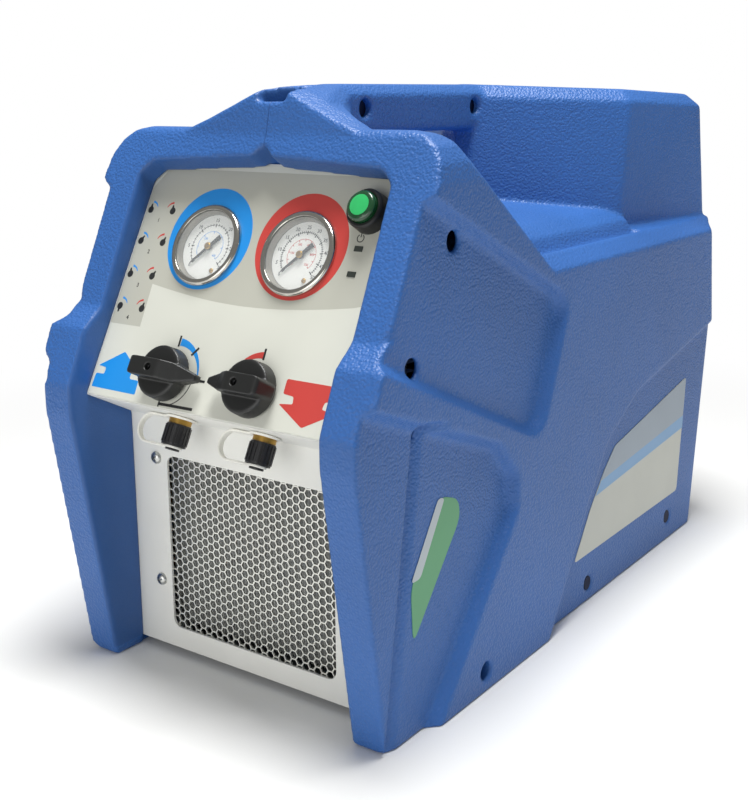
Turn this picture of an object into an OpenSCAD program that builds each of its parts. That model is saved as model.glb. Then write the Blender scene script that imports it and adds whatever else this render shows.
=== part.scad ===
// Portable refrigerant recovery machine in two moulded housing halves.
// Millimetres. +X is the machine's right, -Y its front, +Z up, ground at Z = 0.

/* [Housing] */
// Half of the width over the raised ridges
half_w = 125; // [118:0.5:134]
// How deep the side pockets lie below the ridges
pocket_d = 7.5; // [4:0.5:9]
// Slope of the pocket walls, as their run
pocket_run = 6; // [2:0.5:9]
// Wall under the pockets
wall = 4; // [3:0.25:5]
// Thickness of the floor flange
floor_t = 5; // [4:0.5:7]
// Half of the front bay's width
bay_half = 96; // [90:0.5:98]
// How far the bay's mouth laps over the panel's edge
mouth_lip = 2; // [1:0.25:3]
// Height of the bay's rim below the crest
rim_drop = 15; // [12:0.5:18]
// Slope of the hood's underside, in degrees
hood_a = 32; // [26:1:38]
// Lean of the front legs and of the rear wall, in degrees
lean = 8.7; // [5:0.1:11]
// Height where the legs' lean ends
nose_z = 166; // [155:1:175]
// Rake of the front above the nose, in degrees
rake = 24.5; // [20:0.5:28]
// Height of the front arch's crest
arch_z = 333; // [326:1:340]
// Height of the shoulder
shoulder_z = 254; // [246:1:262]
// Length of the arch's flat crest
crest_l = 12.3; // [8:0.1:20]
// Fall of the arch's back slope, in degrees
diag_a = 36; // [30:1:42]
// Rear foot, from the front foot
rear_y = 450; // [430:1:470]
// Length of the saddle between the back slope and the tower
saddle_l = 77; // [70:1:90]
// Rise of the crowned saddle above the shoulder
saddle_h = 24; // [16:1:28]
// Rise of the carrying bar above the crest
bar_rise = 25; // [20:1:32]
// Half of the carrying bar's width
bar_half = 15; // [12:0.5:18]
// Depth of the carrying bar
bar_h = 31; // [26:1:36]
// Size of the bevel along the shoulder and the back slope
bevel = 12; // [6:0.5:13]
// Radius of the rear corners
corner_r = 14; // [8:0.5:16]
// Counterbore of the housing screws
cbore_d = 11.6; // [10:0.2:14]
// Shank hole of the housing screws
shank_d = 5.2; // [4.5:0.1:6]

/* [Front panel] */
// Sheet thickness
sheet = 1.5; // [1:0.1:2.5]
// Lean of the control face from the vertical, in degrees
tilt = 27.5; // [22:0.5:32]
// Control face reference line, from the front foot
face_y = 37.5; // [34:0.5:42]
// Control face reference height
face_z = 268.4; // [262:0.2:275]
// Control face above the reference line
face_up = 49; // [44:0.5:51]
// Control face below the reference line
face_down = 105; // [104:0.5:108]
// Lower face, from the front foot
low_y = 23.8; // [20:0.2:30]
// Depth of the panel's side flanges
flange = 32; // [28:1:40]
// Window half width
win_half = 65.5; // [55:0.5:70]
// Window bottom height
win_z0 = 19; // [14:0.5:26]
// Window top height
win_z1 = 133; // [120:0.5:138]
// Printed film thickness
film = 0.4; // [0.2:0.1:0.6]
// Gap between the panel and the bay
bay_gap = 0.5; // [0.3:0.1:0.8]
// Mesh hole across flats
hex_af = 6.4; // [4:0.2:8]
// Mesh web between holes
hex_web = 1.4; // [1:0.1:2.5]
// Panel screws' distance from the middle
panel_screw_x = 74.4; // [71:0.2:78]
// Lower panel screws' height
panel_screw_z0 = 49; // [40:1:60]
// Upper panel screws' height
panel_screw_z1 = 130; // [115:1:135]

/* [Gauges] */
// Half of the distance between the gauges
gauge_x = 35; // [33:0.5:38]
// Gauge centre below the reference line
gauge_v = -4.5; // [-8:0.5:0]
// Bezel outside diameter
bezel_d = 51; // [48:0.5:54]
// Bezel height above the film
bezel_h = 3.2; // [2.8:0.1:5]
// Case outside diameter
case_d = 46; // [43:0.5:47]
// Case depth behind the face
case_h = 24; // [20:1:28]
// Dial depth behind the film
dial_n = 2.5; // [1.5:0.1:3]
// Dial thickness
dial_t = 0.8; // [0.5:0.1:1]
// Needle length
needle_l = 16; // [13:0.5:18]
// Needle spindle diameter
spindle_d = 2; // [1.6:0.1:2.4]

/* [Controls] */
// Half of the distance between the knobs
knob_x = 32.6; // [31:0.2:36]
// Knob centre below the reference line
knob_v = -85; // [-88:0.5:-80]
// Knob skirt diameter
knob_d = 32; // [28:0.5:36]
// Knob skirt height
knob_h = 11; // [9:0.5:13]
// Grip height
grip_h = 20; // [16:0.5:24]
// Pointer reach from the axis
pointer_l = 28; // [24:0.5:29]
// Grip tail reach from the axis
tail_l = 17; // [14:0.5:20]
// Grip width
grip_w = 11; // [9:0.5:13]
// Valve stem diameter
stem_d = 8; // [7:0.25:9]
// Switch position across the face
switch_x = 77; // [74:0.5:79]
// Switch position up the face
switch_v = 22; // [18:0.5:25]
// Switch bezel diameter
switch_d = 24; // [22:0.5:26]
// Switch button diameter
button_d = 18; // [16:0.5:19.5]
// Switch button travel
button_s = 3; // [2:0.25:3.5]

/* [Ports] */
// Port axis behind the control face
port_in = 19.2; // [16:0.2:22]
// Flare thread diameter
flare_d = 11.1; // [10:0.1:12]
// Neck collar diameter
neck_d = 13.6; // [12.5:0.1:14.5]
// Neck collar height below the ledge
neck_h = 4.4; // [3:0.2:5]
// Cap diameter
cap_d = 15.6; // [14.5:0.1:17]
// Cap length without its button
cap_l = 12.6; // [11:0.2:15]
// Tether loop reach from the port axis
tether_x = 31; // [24:0.5:34]
// Tether thickness
tether_t = 1.4; // [1:0.1:2]

/* [Drive] */
// Shaft height
shaft_z = 82; // [76:1:90]
// Fan diameter
fan_d = 112; // [96:1:120]
// Shaft diameter
shaft_d = 10; // [8:0.5:12]
// Motor diameter
motor_d = 92; // [80:1:100]
// Motor length
motor_l = 100; // [85:1:115]
// Motor front, from the front foot
motor_y = 126; // [122:1:134]
// Crankcase length
crank_l = 70; // [64:1:76]
// Crankcase diameter
crank_d = 74; // [68:1:80]
// Cylinder barrel's top above the shaft
barrel_z = 58; // [52:1:64]
// Cylinder head width
head_w = 64; // [58:1:70]
// Cylinder head length
head_l = 58; // [52:1:64]
// Cylinder head height
head_h = 40; // [36:1:44]
// Width of the mounting feet
foot_w = 88; // [82:1:94]
// Rubber mounts' distance from the middle
mount_x = 34; // [30:1:36]
// Height of the rubber mounts
mount_h = 12; // [8:0.5:16]
// Run capacitor diameter
can_d = 42; // [35:1:45]
// Run capacitor height
can_h = 78; // [60:1:90]

/* [Clearances] */
// Running clearance on a radius
run_c = 0.08; // [0.04:0.01:0.1]
// Free clearance between parts that move
free_c = 0.4; // [0.3:0.05:0.6]
// Fit clearance between parts that are fixed
fit_c = 0.1; // [0.05:0.05:0.2]

/* [Hidden] */
$fn = 48;
e = 0.01;
base_w = half_w - pocket_d;
room_w = base_w - wall;
nose_y = -nose_z * tan(lean);
ridge_z0 = nose_z + 16;
ridge_z1 = ridge_z0 + 33.5;
ridge_y = nose_y + (ridge_z1 - ridge_z0) * tan(rake - 1);
step_y = ridge_y + 14.5;
step_z = ridge_z1 + 11.5;
crest_y = step_y + (arch_z - step_z) * tan(rake);
crest_end = crest_y + crest_l;
diag_y = crest_end + (arch_z - shoulder_z) / tan(diag_a);
rim_y = step_y + (arch_z - rim_drop - step_z) * tan(rake);
mouth_half = bay_half - mouth_lip;
diag_l = (arch_z - shoulder_z) / sin(diag_a);
bar_z = arch_z + bar_rise;
tower_y = diag_y + saddle_l;
bulge_z = nose_z;
bulge_y = rear_y + bulge_z * tan(lean);
rear_in = tan(lean - 1);
rear_top = bulge_y - (bar_z - bulge_z) * rear_in;
mid_y = (nose_y + bulge_y) / 2;
face_half = bay_half - bay_gap;
lip_y = face_y - face_down * sin(tilt);
lip_z = face_z - face_down * cos(tilt);
ledge_d = (low_y - lip_y) / cos(tilt);
ledge_z = lip_z - ledge_d * sin(tilt);
low_z0 = floor_t + 2 * fit_c;
tray_z = floor_t + sheet;
screw_head = cbore_d - 1.6;
rim_h = 0.5 * bezel_h;
lens_top = 0.75 * bezel_h;
needle_z = 0.8 - dial_n;
neck_v = -face_down;
cap_v = neck_v - neck_h - free_c;
side_screws = [[66, 274], [26, 211], [94, 13], [247, 13], [390, 19]];
bar_screws = [crest_y + 75, tower_y + 7];
bar_screw_z = bar_z - 15;
rear_half = 84;
rear_z0 = tray_z + 5;
rear_z1 = 150;
tray_end = rear_y - 8;
plate_y = rear_y - 12;

// Rounded polygon: each corner is [y, z, radius]
function unit(v) = v / norm(v);
function arc_at(p, q, r, want) = want <= 0 ? [[q[0], q[1]]] :
  let (u = [p[0] - q[0], p[1] - q[1]], w = [r[0] - q[0], r[1] - q[1]], a = unit(u), b = unit(w),
       half = acos(max(-1, min(1, a * b))) / 2,
       rad = min(want, 0.48 * min(norm(u), norm(w)) * tan(half)), d = rad / tan(half), m = unit(a + b),
       c = [q[0], q[1]] + m * rad / sin(half),
       s = [q[0], q[1]] + a * d - c, t = [q[0], q[1]] + b * d - c,
       a0 = atan2(s[1], s[0]), turn = (atan2(t[1], t[0]) - a0 + 540) % 360 - 180)
  [for (i = [0:4]) c + rad * [cos(a0 + turn * i / 4), sin(a0 + turn * i / 4)]];
function soft(pts) = let (n = len(pts))
  [for (i = [0:n - 1]) each arc_at(pts[(i + n - 1) % n], pts[i], pts[(i + 1) % n], pts[i][2])];
// Outward offset of a convex polygon that runs clockwise
function nrm(a, b) = let (d = unit([b[0] - a[0], b[1] - a[1]])) [-d[1], d[0]];
function grow(pts, d) = let (n = len(pts)) [for (i = [0:n - 1])
  let (a = pts[(i + n - 1) % n], b = pts[i], c = pts[(i + 1) % n],
       u = nrm(a, b), v = nrm(b, c), k = d / (1 + u * v))
  [b[0] + (u[0] + v[0]) * k, b[1] + (u[1] + v[1]) * k, b[2] + d / 2]];

module frame() { translate([0, -mid_y, 0]) children(); }
module along_x(x0, x1) { translate([x0, 0, 0]) rotate([90, 0, 90]) linear_extrude(x1 - x0) children(); }
module along_y(y0, y1) { translate([0, y1, 0]) rotate([90, 0, 0]) linear_extrude(y1 - y0) children(); }
module on_face() { translate([0, face_y, face_z]) rotate([90 - tilt, 0, 0]) children(); }
module on_low() { translate([0, low_y, 0]) rotate([90, 0, 0]) children(); }
module box(x0, x1, y0, y1, z0, z1) { translate([x0, y0, z0]) cube([x1 - x0, y1 - y0, z1 - z0]); }
module rod_y(y0, y1, d) { translate([0, y1, 0]) rotate([90, 0, 0]) cylinder(d = d, h = y1 - y0); }
module rod_x(x0, x1, d) { translate([x0, 0, 0]) rotate([0, 90, 0]) cylinder(d = d, h = x1 - x0); }

// Housing: side outline, tower and pockets
module side_outline() {
  polygon(soft([[0, 0, 3], [nose_y, nose_z, 24], [nose_y, ridge_z0, 14], [ridge_y, ridge_z1, 5],
    [step_y, step_z, 8], [crest_y, arch_z, 7], [crest_end, arch_z, 26], [diag_y, shoulder_z, 5],
    [bulge_y - (shoulder_z - bulge_z) * rear_in, shoulder_z, 6], [bulge_y, bulge_z, 14], [rear_y,
      0, 3]]));
}
module front_outline() {
  polygon(soft([[0, -1, 0], [half_w, -1, 0], [half_w, arch_z, 27], [0, arch_z, 0]]));
}
pocket_a = [[-70, 250, 0], [-40, 318, 0], [15, 305, 6], [187, 223.5, 12], [156, 148, 14]];
pocket_b = [[-70, 213, 0], [106, 147, 10], [125, 126, 8], [125, 106, 12], [28, -10, 0], [-70, -10, 0]];
pocket_c = [[176, -10, 0], [236, 79, 22], [262, 112, 26], [309, 137, 20], [490, 172, 0], [490, -10, 0]];
module pocket(p) {
  hull() {
    along_x(base_w, base_w + e) polygon(soft(p));
    along_x(half_w + 1, half_w + 1 + e) polygon(soft(grow(p, pocket_run * (pocket_d + 1) / pocket_d)));
  }
}
// Tower plan: f moves its front, g draws its sides in, h moves its rear, s insets it all
function tower_plan(f, g, h, s) = [[-1, tower_y + f + s, 0], [bar_half - 2 - g, tower_y + f + 3 + s, 0],
  [base_w - 25 - g - s, tower_y + f + 89 + s / 2, 9],
  [base_w - 6.5 - g - s - f * 0.12, rear_top + h - s, 8], [-1, rear_top + h - s, 0]];
module tower_slice(plan, z) {
  translate([0, tower_y, z]) rotate([-2.6, 0, 0]) linear_extrude(e)
    polygon([for (p = soft(plan)) [p[0], p[1] - tower_y]]);
}
module tower(s) {
  hull() {
    translate([0, 0, shoulder_z - 12]) linear_extrude(e) polygon(soft(tower_plan(-8, 0, 14, s)));
    tower_slice(tower_plan(8.5, 0, 0, s), bar_z - 8 - s);
    tower_slice(tower_plan(11.5, 8.5, -9, s), bar_z + 1 - s);
  }
}
module bar_section() {
  polygon(soft([[-1, bar_z - bar_h, 0], [-1, bar_z, 0], [bar_half - 6, bar_z, 2],
    [bar_half + 0.5, bar_z - 6.5, 2], [bar_half - 0.5, bar_z - bar_h, 5]]));
}
// Hood between the arch and the bar: cross sections as [x, z] from the middle plane outwards
hood_low = arch_z - 14;
hood_rows = [
  [[-1, hood_low], [-1, bar_z - 2.5], [4, bar_z - 2.5], [12, bar_z - 5], [27, bar_z - 11.5],
    [47, arch_z + 5], [62, arch_z - 0.5], [66, hood_low]],
  [[-1, hood_low - 3], [-1, bar_z - 1], [8, bar_z - 1.2], [17, bar_z - 4], [33, bar_z - 11],
    [54, arch_z + 5], [66, arch_z - 1], [70, hood_low - 3]],
  [[-1, hood_low - 7], [-1, bar_z - 0.6], [10, bar_z - 1], [22, bar_z - 5], [30, bar_z - 13],
    [36, arch_z + 4], [41, arch_z - 5], [44, hood_low - 7]],
  [[-1, bar_z - bar_h + 0.4], [-1, bar_z - 0.3], [bar_half - 6.5, bar_z - 0.3], [bar_half - 0.3,
    bar_z - 6.6],
    [bar_half - 0.5, bar_z - 13], [bar_half - 0.7, bar_z - 20], [bar_half - 0.9, bar_z - 26],
    [bar_half - 1.4, bar_z - bar_h + 0.4]]];
hood_y = [crest_y - 1.5, crest_y + 14, crest_y + 33, crest_y + 60];
module hood() {
  n = len(hood_rows[0]);
  m = len(hood_rows);
  polyhedron(
    [for (i = [0:m - 1], p = hood_rows[i])
      [p[0], hood_y[i] + (i == 0 ? (p[1] - arch_z + 3) * tan(rake / 2) : 0), p[1]]],
    concat([for (j = [1:n - 2]) [0, j, j + 1]],
      [for (j = [1:n - 2]) [(m - 1) * n, (m - 1) * n + j + 1, (m - 1) * n + j]],
      [for (i = [0:m - 2], j = [0:n - 1]) [i * n + (j + 1) % n, i * n + j, (i + 1) * n + j]],
      [for (i = [0:m - 2], j = [0:n - 1])
        [i * n + (j + 1) % n, (i + 1) * n + j, (i + 1) * n + (j + 1) % n]]));
}
// Crowned saddle between the back slope and the tower; d sinks its surface
module saddle(d, y0, y1) {
  along_y(y0, y1) polygon(soft([[-1, shoulder_z - 9 + d / 4, 0], [-1, shoulder_z + saddle_h - d, 0],
    [18, shoulder_z + saddle_h - d, 20], [base_w - 33 - d / 2, shoulder_z + saddle_h - 10 - d, 25],
    [base_w - 20.5 - d, shoulder_z + saddle_h - 17 - d, 6], [base_w - 14.5 - d, shoulder_z - 3.5, 0],
    [base_w - 14.5 - d, shoulder_z - 9 + d / 4, 0]]));
}
module room_outline() {
  polygon([[low_y + 20, floor_t], [low_y + 20, 140], [nose_y + 46, ridge_z0 + 4], [step_y + 25, step_z],
    [crest_y + 14, arch_z - 24], [crest_end + 12, arch_z - 24], [diag_y - 8, shoulder_z - 8],
    [bulge_y - (shoulder_z - bulge_z) * rear_in - 7, shoulder_z - 8], [bulge_y - 7, bulge_z],
    [rear_y - 6, floor_t]]);
}
module room() {
  intersection() {
    along_x(-1, room_w) room_outline();
    translate([0, 0, -1]) linear_extrude(arch_z)
      polygon([[-2, -90], [room_w + 1, -90], [room_w + 1, rear_y - 14], [room_w - corner_r,
        rear_y + 20],
        [room_w - corner_r, rear_y + 40], [-2, rear_y + 40]]);
  }
}
// Front bay: its mouth, and behind it the seat that the panel stands in
function at_face(v, n) = [face_y + v * sin(tilt) - n * cos(tilt), face_z + v * cos(tilt)
  + n * sin(tilt)];
module mouth_outline() {
  polygon([[-60, -1], [-60, arch_z], [crest_y + 15, arch_z], at_face(face_up + 12, -1),
    at_face(-face_down, -1), [low_y + 1, ledge_z], [low_y + 1, -1]]);
}
module mouth_front() {
  translate([0, rim_y, arch_z - rim_drop]) rotate([90 - hood_a, 0, 0]) linear_extrude(500,
    center = true)
    polygon(soft([[-1, -700, 0], [-1, 8, 0], [0, 7, 0], [7, -0.4, 3], [mouth_half - 8, -5.2, 3],
      [mouth_half, -13, 6], [mouth_half, -700, 0]]));
}
module seat_outline() {
  g = bay_gap;
  polygon([at_face(face_up + g, film + g), at_face(-face_down - g, film + g), [low_y - g,
    ledge_z - 2 * g],
    [low_y - g, -1], [low_y + 21, -1], [low_y + 21, 139], [crest_y + 15, arch_z - 25],
      at_face(face_up + g, -20)]);
}
module corner_cut(y0, z0, a, l, run) {
  translate([0, y0, z0]) rotate([-a, 0, 0]) linear_extrude(l)
    polygon([[base_w - 4.5, -1], [half_w + 9, -1], [half_w + 9, run], [half_w, run]]);
}
module rear_cut(y0, z0, a, l) {
  c = corner_r;
  translate([0, y0, z0]) rotate([-a, 0, 0]) linear_extrude(l) polygon([[base_w - c, 0],
    [base_w - 0.29 * c, -0.29 * c],
    [base_w, -c], [half_w, -c - 12], [half_w + 9, -c - 12], [half_w + 9, 4], [base_w - c, 4]]);
}
module half_shell() {
  difference() {
    union() {
      difference() {
        intersection() {
          along_x(0, half_w) side_outline();
          along_y(-60, rear_y + 60) front_outline();
        }
        // Trench between the saddle and the shoulder lip
        along_x(-1, half_w - bevel - 3) polygon([[diag_y - 2, shoulder_z - 3.5], [diag_y - 22,
          shoulder_z + 13],
          [diag_y - 20, shoulder_z + 15], [diag_y + 2, shoulder_z + 1], [tower_y + 86, shoulder_z + 1],
          [tower_y + 86, shoulder_z - 3.5]]);
      }
      saddle(0, diag_y - 42, tower_y + 88);
      hood();
      along_y(crest_y + 57, tower_y + 24) bar_section();
      tower(0);
    }
    // Left of the middle plane belongs to the other half
    box(-20, 0, -80, rear_y + 80, -5, bar_z + 20);
    pocket(pocket_a);
    pocket(pocket_b);
    pocket(pocket_c);
    // Front corners of the leg, nose and arch, and rear corners
    corner_cut(0, -4, lean, nose_z + 22, 24);
    corner_cut(nose_y, ridge_z0, -rake + 1, 36, 16);
    corner_cut(step_y, step_z, -rake, arch_z - step_z + 20, 24);
    rear_cut(rear_y - 4 * tan(lean), -4, lean, (bulge_z + 4) / cos(lean) + 2);
    rear_cut(bulge_y, bulge_z, 1 - lean, shoulder_z - bulge_z + 20);
    // Edge bevels along the shoulder and the back slope
    translate([half_w, diag_y - 4, shoulder_z]) rotate([-90, 0, 0]) linear_extrude(rear_y)
      polygon([[-bevel, 0], [-bevel, -1], [1, -1], [1, 0.75 * bevel], [0, 0.75 * bevel]]);
    translate([half_w, diag_y, shoulder_z]) rotate([90 - diag_a, 0, 0]) linear_extrude(diag_l + 60)
      polygon([[-bevel, 0], [-bevel, 1], [1, 1], [1, -0.75 * bevel], [0, -0.75 * bevel]]);
    // Slot in the hood, down into the finger gap
    intersection() {
      along_x(-1, 13) polygon(soft([[crest_y - 8, arch_z + 15, 0], [crest_y - 8, bar_z + 5, 0],
        [crest_y + 46, bar_z + 5, 0], [crest_y + 46, bar_z - 6, 4], [crest_y + 54, bar_z - bar_h - 9, 0],
        [crest_y + 34, bar_z - bar_h - 17, 0], [crest_y + 12, arch_z + 4, 4],
        [crest_y + 8, arch_z + 15, 2]]));
      translate([0, 0, arch_z - 30]) linear_extrude(80)
        polygon(soft([[-1, crest_y - 9, 0], [9, crest_y - 9, 0], [12, crest_y + 16, 12],
          [5, crest_y + 42, 4], [-1, crest_y + 45, 0]]));
    }
    // Front bay, inner room, saddle room and tower room
    intersection() {
      along_x(-1, mouth_half) mouth_outline();
      mouth_front();
    }
    along_x(-1, bay_half) seat_outline();
    room();
    saddle(6, diag_y - 12, tower_y + 36);
    tower_room();
    // Floor and rear openings
    box(-1, 84, low_y + 36, rear_y - 24, -1, floor_t + 1);
    box(-1, rear_half, plate_y - 2, rear_y + 60, rear_z0, rear_z1);
    // Screw holes
    for (s = side_screws) translate([0, s[0], s[1]]) {
      rod_x(bay_half - 2, half_w + 2, shank_d);
      rod_x(screw_seat(s), half_w + 2, cbore_d);
    }
    for (y = bar_screws) translate([0, y, bar_screw_z]) {
      rod_x(-1, bar_half + 4, shank_d);
      rod_x(8, bar_half + 20, cbore_d);
    }
  }
}
// Seat of a side screw's head: deep beside the panel, shallow beside the tray
function screw_seat(s) = s[1] > 100 ? room_w + 0.5 * wall - 9 : room_w + 0.3 * wall;
module tower_room() {
  intersection() {
    tower(8);
    box(-1, half_w, tower_y + 30, rear_y + 40, shoulder_z - 10, bar_z - 8);
  }
}
module housing_right() { color("#2d5fae") frame() half_shell(); }
module housing_left() { color("#2d5fae") frame() mirror([1, 0, 0]) half_shell(); }

module housing_screws() {
  color("#9aa0a6") frame() for (m = [0, 1]) mirror([m, 0, 0]) {
    for (s = side_screws) translate([0, s[0], s[1]]) {
      rod_x(screw_seat(s), screw_seat(s) + (s[1] > 100 ? 3 : 2), screw_head);
      rod_x((s[1] > 100 ? face_half : room_w) - 8, screw_seat(s) + e, shank_d - 2 * fit_c - 0.4);
    }
    for (y = bar_screws) translate([0, y, bar_screw_z]) {
      rod_x(8, 11, screw_head);
      rod_x(0, 8 + e, shank_d - 2 * fit_c - 0.4);
    }
  }
}

// Chassis and panels
module chassis_base() {
  color("#b9bcbf") frame() difference() {
    union() {
      box(-room_w + fit_c, room_w - fit_c, low_y + 21, tray_end - corner_r, floor_t, tray_z);
      box(-room_w + corner_r, room_w - corner_r, tray_end - corner_r - 1, tray_end, floor_t, tray_z);
      for (m = [0, 1]) mirror([m, 0, 0])
        box(room_w - fit_c - sheet, room_w - fit_c, low_y + 21, tray_end - corner_r, floor_t, 32);
      box(-face_half, face_half, low_y + sheet, low_y + 22, floor_t, tray_z);
    }
    for (m = [0, 1]) mirror([m, 0, 0]) for (i = [2:4]) translate([0, side_screws[i][0],
      side_screws[i][1]])
      rod_x(room_w - 10, room_w + 5, shank_d);
  }
}
module rrect(w0, w1, h0, h1, r) {
  polygon(soft([[w0, h0, r], [w0, h1, r], [w1, h1, r], [w1, h0, r]]));
}
module front_panel() {
  color("#d9d9d4") frame() difference() {
    union() {
      on_face() translate([-face_half, -face_down, -sheet]) cube([2 * face_half,
        face_down + face_up, sheet]);
      on_face() translate([-face_half, -face_down, -ledge_d]) cube([2 * face_half, sheet,
        ledge_d - sheet + e]);
      on_face() translate([-face_half, face_up - sheet, -16]) cube([2 * face_half, sheet,
        16 - sheet + e]);
      on_face() for (m = [0, 1]) mirror([m, 0, 0])
        translate([face_half - sheet, -face_down + sheet - e, -flange]) cube([sheet,
          face_down + face_up - 2 * sheet, flange - sheet + e]);
      box(-face_half, face_half, low_y, low_y + sheet, low_z0, ledge_z + 0.4);
    }
    on_low() translate([0, 0, -sheet - 1]) linear_extrude(sheet + 2) rrect(-win_half, win_half,
      win_z0, win_z1, 6);
    on_face() for (m = [0, 1]) mirror([m, 0, 0]) {
      translate([gauge_x, gauge_v, -sheet - 1]) cylinder(d = case_d + 2 * fit_c, h = sheet + 2);
      translate([knob_x, knob_v, -sheet - 1]) cylinder(d = stem_d + 8 + 2 * fit_c, h = sheet + 2);
      translate([knob_x, -face_down - 1, -port_in]) rotate([-90, 0, 0])
        cylinder(d = flare_d + 2 * fit_c, h = sheet + 2);
    }
    on_face() translate([switch_x, switch_v, -sheet - 1]) cylinder(d = switch_d - 2, h = sheet + 2);
    on_face() lights(0.15, -9, 9);
    for (m = [0, 1]) mirror([m, 0, 0]) {
      for (i = [0, 1]) translate([0, side_screws[i][0], side_screws[i][1]]) rod_x(face_half - 12,
        face_half + 2, shank_d);
      on_low() for (z = [panel_screw_z0, panel_screw_z1]) translate([panel_screw_x, z, -sheet - 1])
        cylinder(d = 4.4, h = sheet + 2);
    }
  }
}
module lights(g, z0, z1) {
  for (v = [1.5, -13.2]) translate([switch_x - 5.2 - g, v - 1.6 - g, z0]) cube([5.6 + 2 * g,
    3.2 + 2 * g, z1 - z0]);
}
module panel_overlay() {
  color("#e4e3dd") frame() on_face() difference() {
    translate([-face_half + 1, -face_down + 1, 0]) cube([2 * face_half - 2,
      face_down + face_up - 2, film]);
    for (m = [0, 1]) mirror([m, 0, 0]) {
      translate([gauge_x, gauge_v, -1]) cylinder(d = case_d + 2 * fit_c, h = 3);
      translate([knob_x, knob_v, -1]) cylinder(d = stem_d + 8 + 2 * fit_c, h = 3);
    }
    translate([switch_x, switch_v, -1]) cylinder(d = switch_d - 2, h = 3);
    lights(0.15, -1, 2);
  }
}
module front_mesh() {
  pitch = hex_af + hex_web;
  x1 = win_half + 6;
  z0 = win_z0 - 7;
  z1 = win_z1 + 7;
  nx = floor((win_half - hex_af * 0.6) / (pitch * sin(60)));
  nz = floor((win_z1 - win_z0 - hex_af) / pitch);
  zc = (win_z0 + win_z1) / 2;
  cells = [for (i = [-nx:nx], j = [0:nz - (abs(i) % 2)])
    [i * pitch * sin(60), zc + (j - (nz - (abs(i) % 2)) / 2) * pitch]];
  color("#c9ccce") frame() translate([0, low_y + 2 * sheet, 0]) rotate([90, 0, 0])
    linear_extrude(sheet) difference() {
    translate([-x1, z0]) square([2 * x1, z1 - z0]);
    for (c = cells) translate(c) circle(d = hex_af / cos(30), $fn = 6);
  }
}
module panel_screws() {
  color("#c4c7ca") frame() on_low() for (x = [-panel_screw_x, panel_screw_x],
    z = [panel_screw_z0, panel_screw_z1]) translate([x, z, 0]) {
    rotate_extrude() polygon([[0, 0], [4, 0], [3.7, 1.2], [2.6, 2.2], [0, 2.7]]);
    translate([0, 0, -8]) cylinder(d = 4, h = 8 + e);
  }
}
module rear_panel() {
  color("#b4b7ba") frame() difference() {
    union() {
      box(-rear_half - 8, rear_half + 8, plate_y, plate_y + sheet, tray_z, rear_z1 + 8);
      box(-rear_half - 8, rear_half + 8, plate_y - 14, plate_y + e, tray_z, tray_z + sheet);
    }
    for (i = [-5:5], j = [0:1]) translate([i * 12, plate_y - 1, 62 + j * 40]) translate([0, 5, 0])
      rotate([90, 0, 0])
      linear_extrude(10) rrect(-3, 3, 0, 34, 2.9);
    translate([-46, plate_y - 1, 34]) box(-13.9, 13.9, -1, 4, -10, 10);
    translate([10, plate_y - 4, 34]) rod_y(0, 8, 14.4);
  }
}

// Gauges, built about their own axis
module gauge_at(m) { frame() on_face() translate([m * gauge_x, gauge_v, film]) children(); }
module gauge_case(m) {
  c = case_d / 2;
  seat = -dial_n - dial_t;
  bore = spindle_d / 2 + free_c;
  color("#2b2c2e") gauge_at(m) {
    rotate_extrude() polygon([[0, -case_h], [c - 2, -case_h], [c, -case_h + 2], [c, rim_h], [c - 1.4, rim_h],
      [c - 2.5, seat + 1], [c - 2.5, seat], [c - 5, seat], [c - 5, -case_h + 2],
      [bore + 1.2, -case_h + 2], [bore + 1.2, seat - 1], [bore, seat - 1], [bore, -case_h + 1],
      [0, -case_h + 1]]);
    translate([0, 0, -case_h - 10]) cylinder(d = 10, h = 10 + e);
  }
}
module gauge_bezel(m) {
  b = bezel_d / 2;
  c = case_d / 2;
  w = b - c;
  h = bezel_h;
  color("#c9cbcd") gauge_at(m) rotate_extrude()
    polygon([[c + fit_c, 0], [b, 0], [b, 0.48 * h], [b - 0.16 * w, 0.76 * h], [b - 0.48 * w, 0.94 * h],
      [b - 0.88 * w, h], [c - 0.12 * w, 0.97 * h], [c - 1, 0.88 * h], [c - 1.1, lens_top + fit_c],
      [c + fit_c, lens_top + fit_c]]);
}
module gauge_dial(m) {
  color("#f2f2ee") gauge_at(m) translate([0, 0, -dial_n - dial_t]) difference() {
    cylinder(d = case_d - 5 - 2 * fit_c, h = dial_t);
    translate([0, 0, -1]) cylinder(d = spindle_d + 2 * free_c, h = 3);
  }
}
module gauge_needle(m) {
  color("#1d1d1f") gauge_at(m) rotate([0, 0, 225]) {
    translate([0, 0, needle_z]) linear_extrude(0.6)
      polygon([[-0.6 * needle_l, -1.5], [-0.6 * needle_l, 1.5], [0, 1], [needle_l - 3, 0.6], [needle_l, 0],
        [needle_l - 3, -0.6], [0, -1]]);
    translate([0, 0, needle_z]) cylinder(r = 2.4, h = 1.1);
    translate([0, 0, -case_h + 1.3]) cylinder(d = spindle_d, h = case_h - 0.8 + needle_z);
  }
}
module gauge_lens(m) {
  color("#dfe8ec", 0.35) gauge_at(m) translate([0, 0, rim_h])
    cylinder(d = case_d - 0.6, h = lens_top - rim_h);
}
module gauge_case_suction() { gauge_case(-1); }
module gauge_case_discharge() { gauge_case(1); }
module gauge_bezel_suction() { gauge_bezel(-1); }
module gauge_bezel_discharge() { gauge_bezel(1); }
module gauge_dial_suction() { gauge_dial(-1); }
module gauge_dial_discharge() { gauge_dial(1); }
module gauge_needle_suction() { gauge_needle(-1); }
module gauge_needle_discharge() { gauge_needle(1); }
module gauge_lens_suction() { gauge_lens(-1); }
module gauge_lens_discharge() { gauge_lens(1); }

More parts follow.
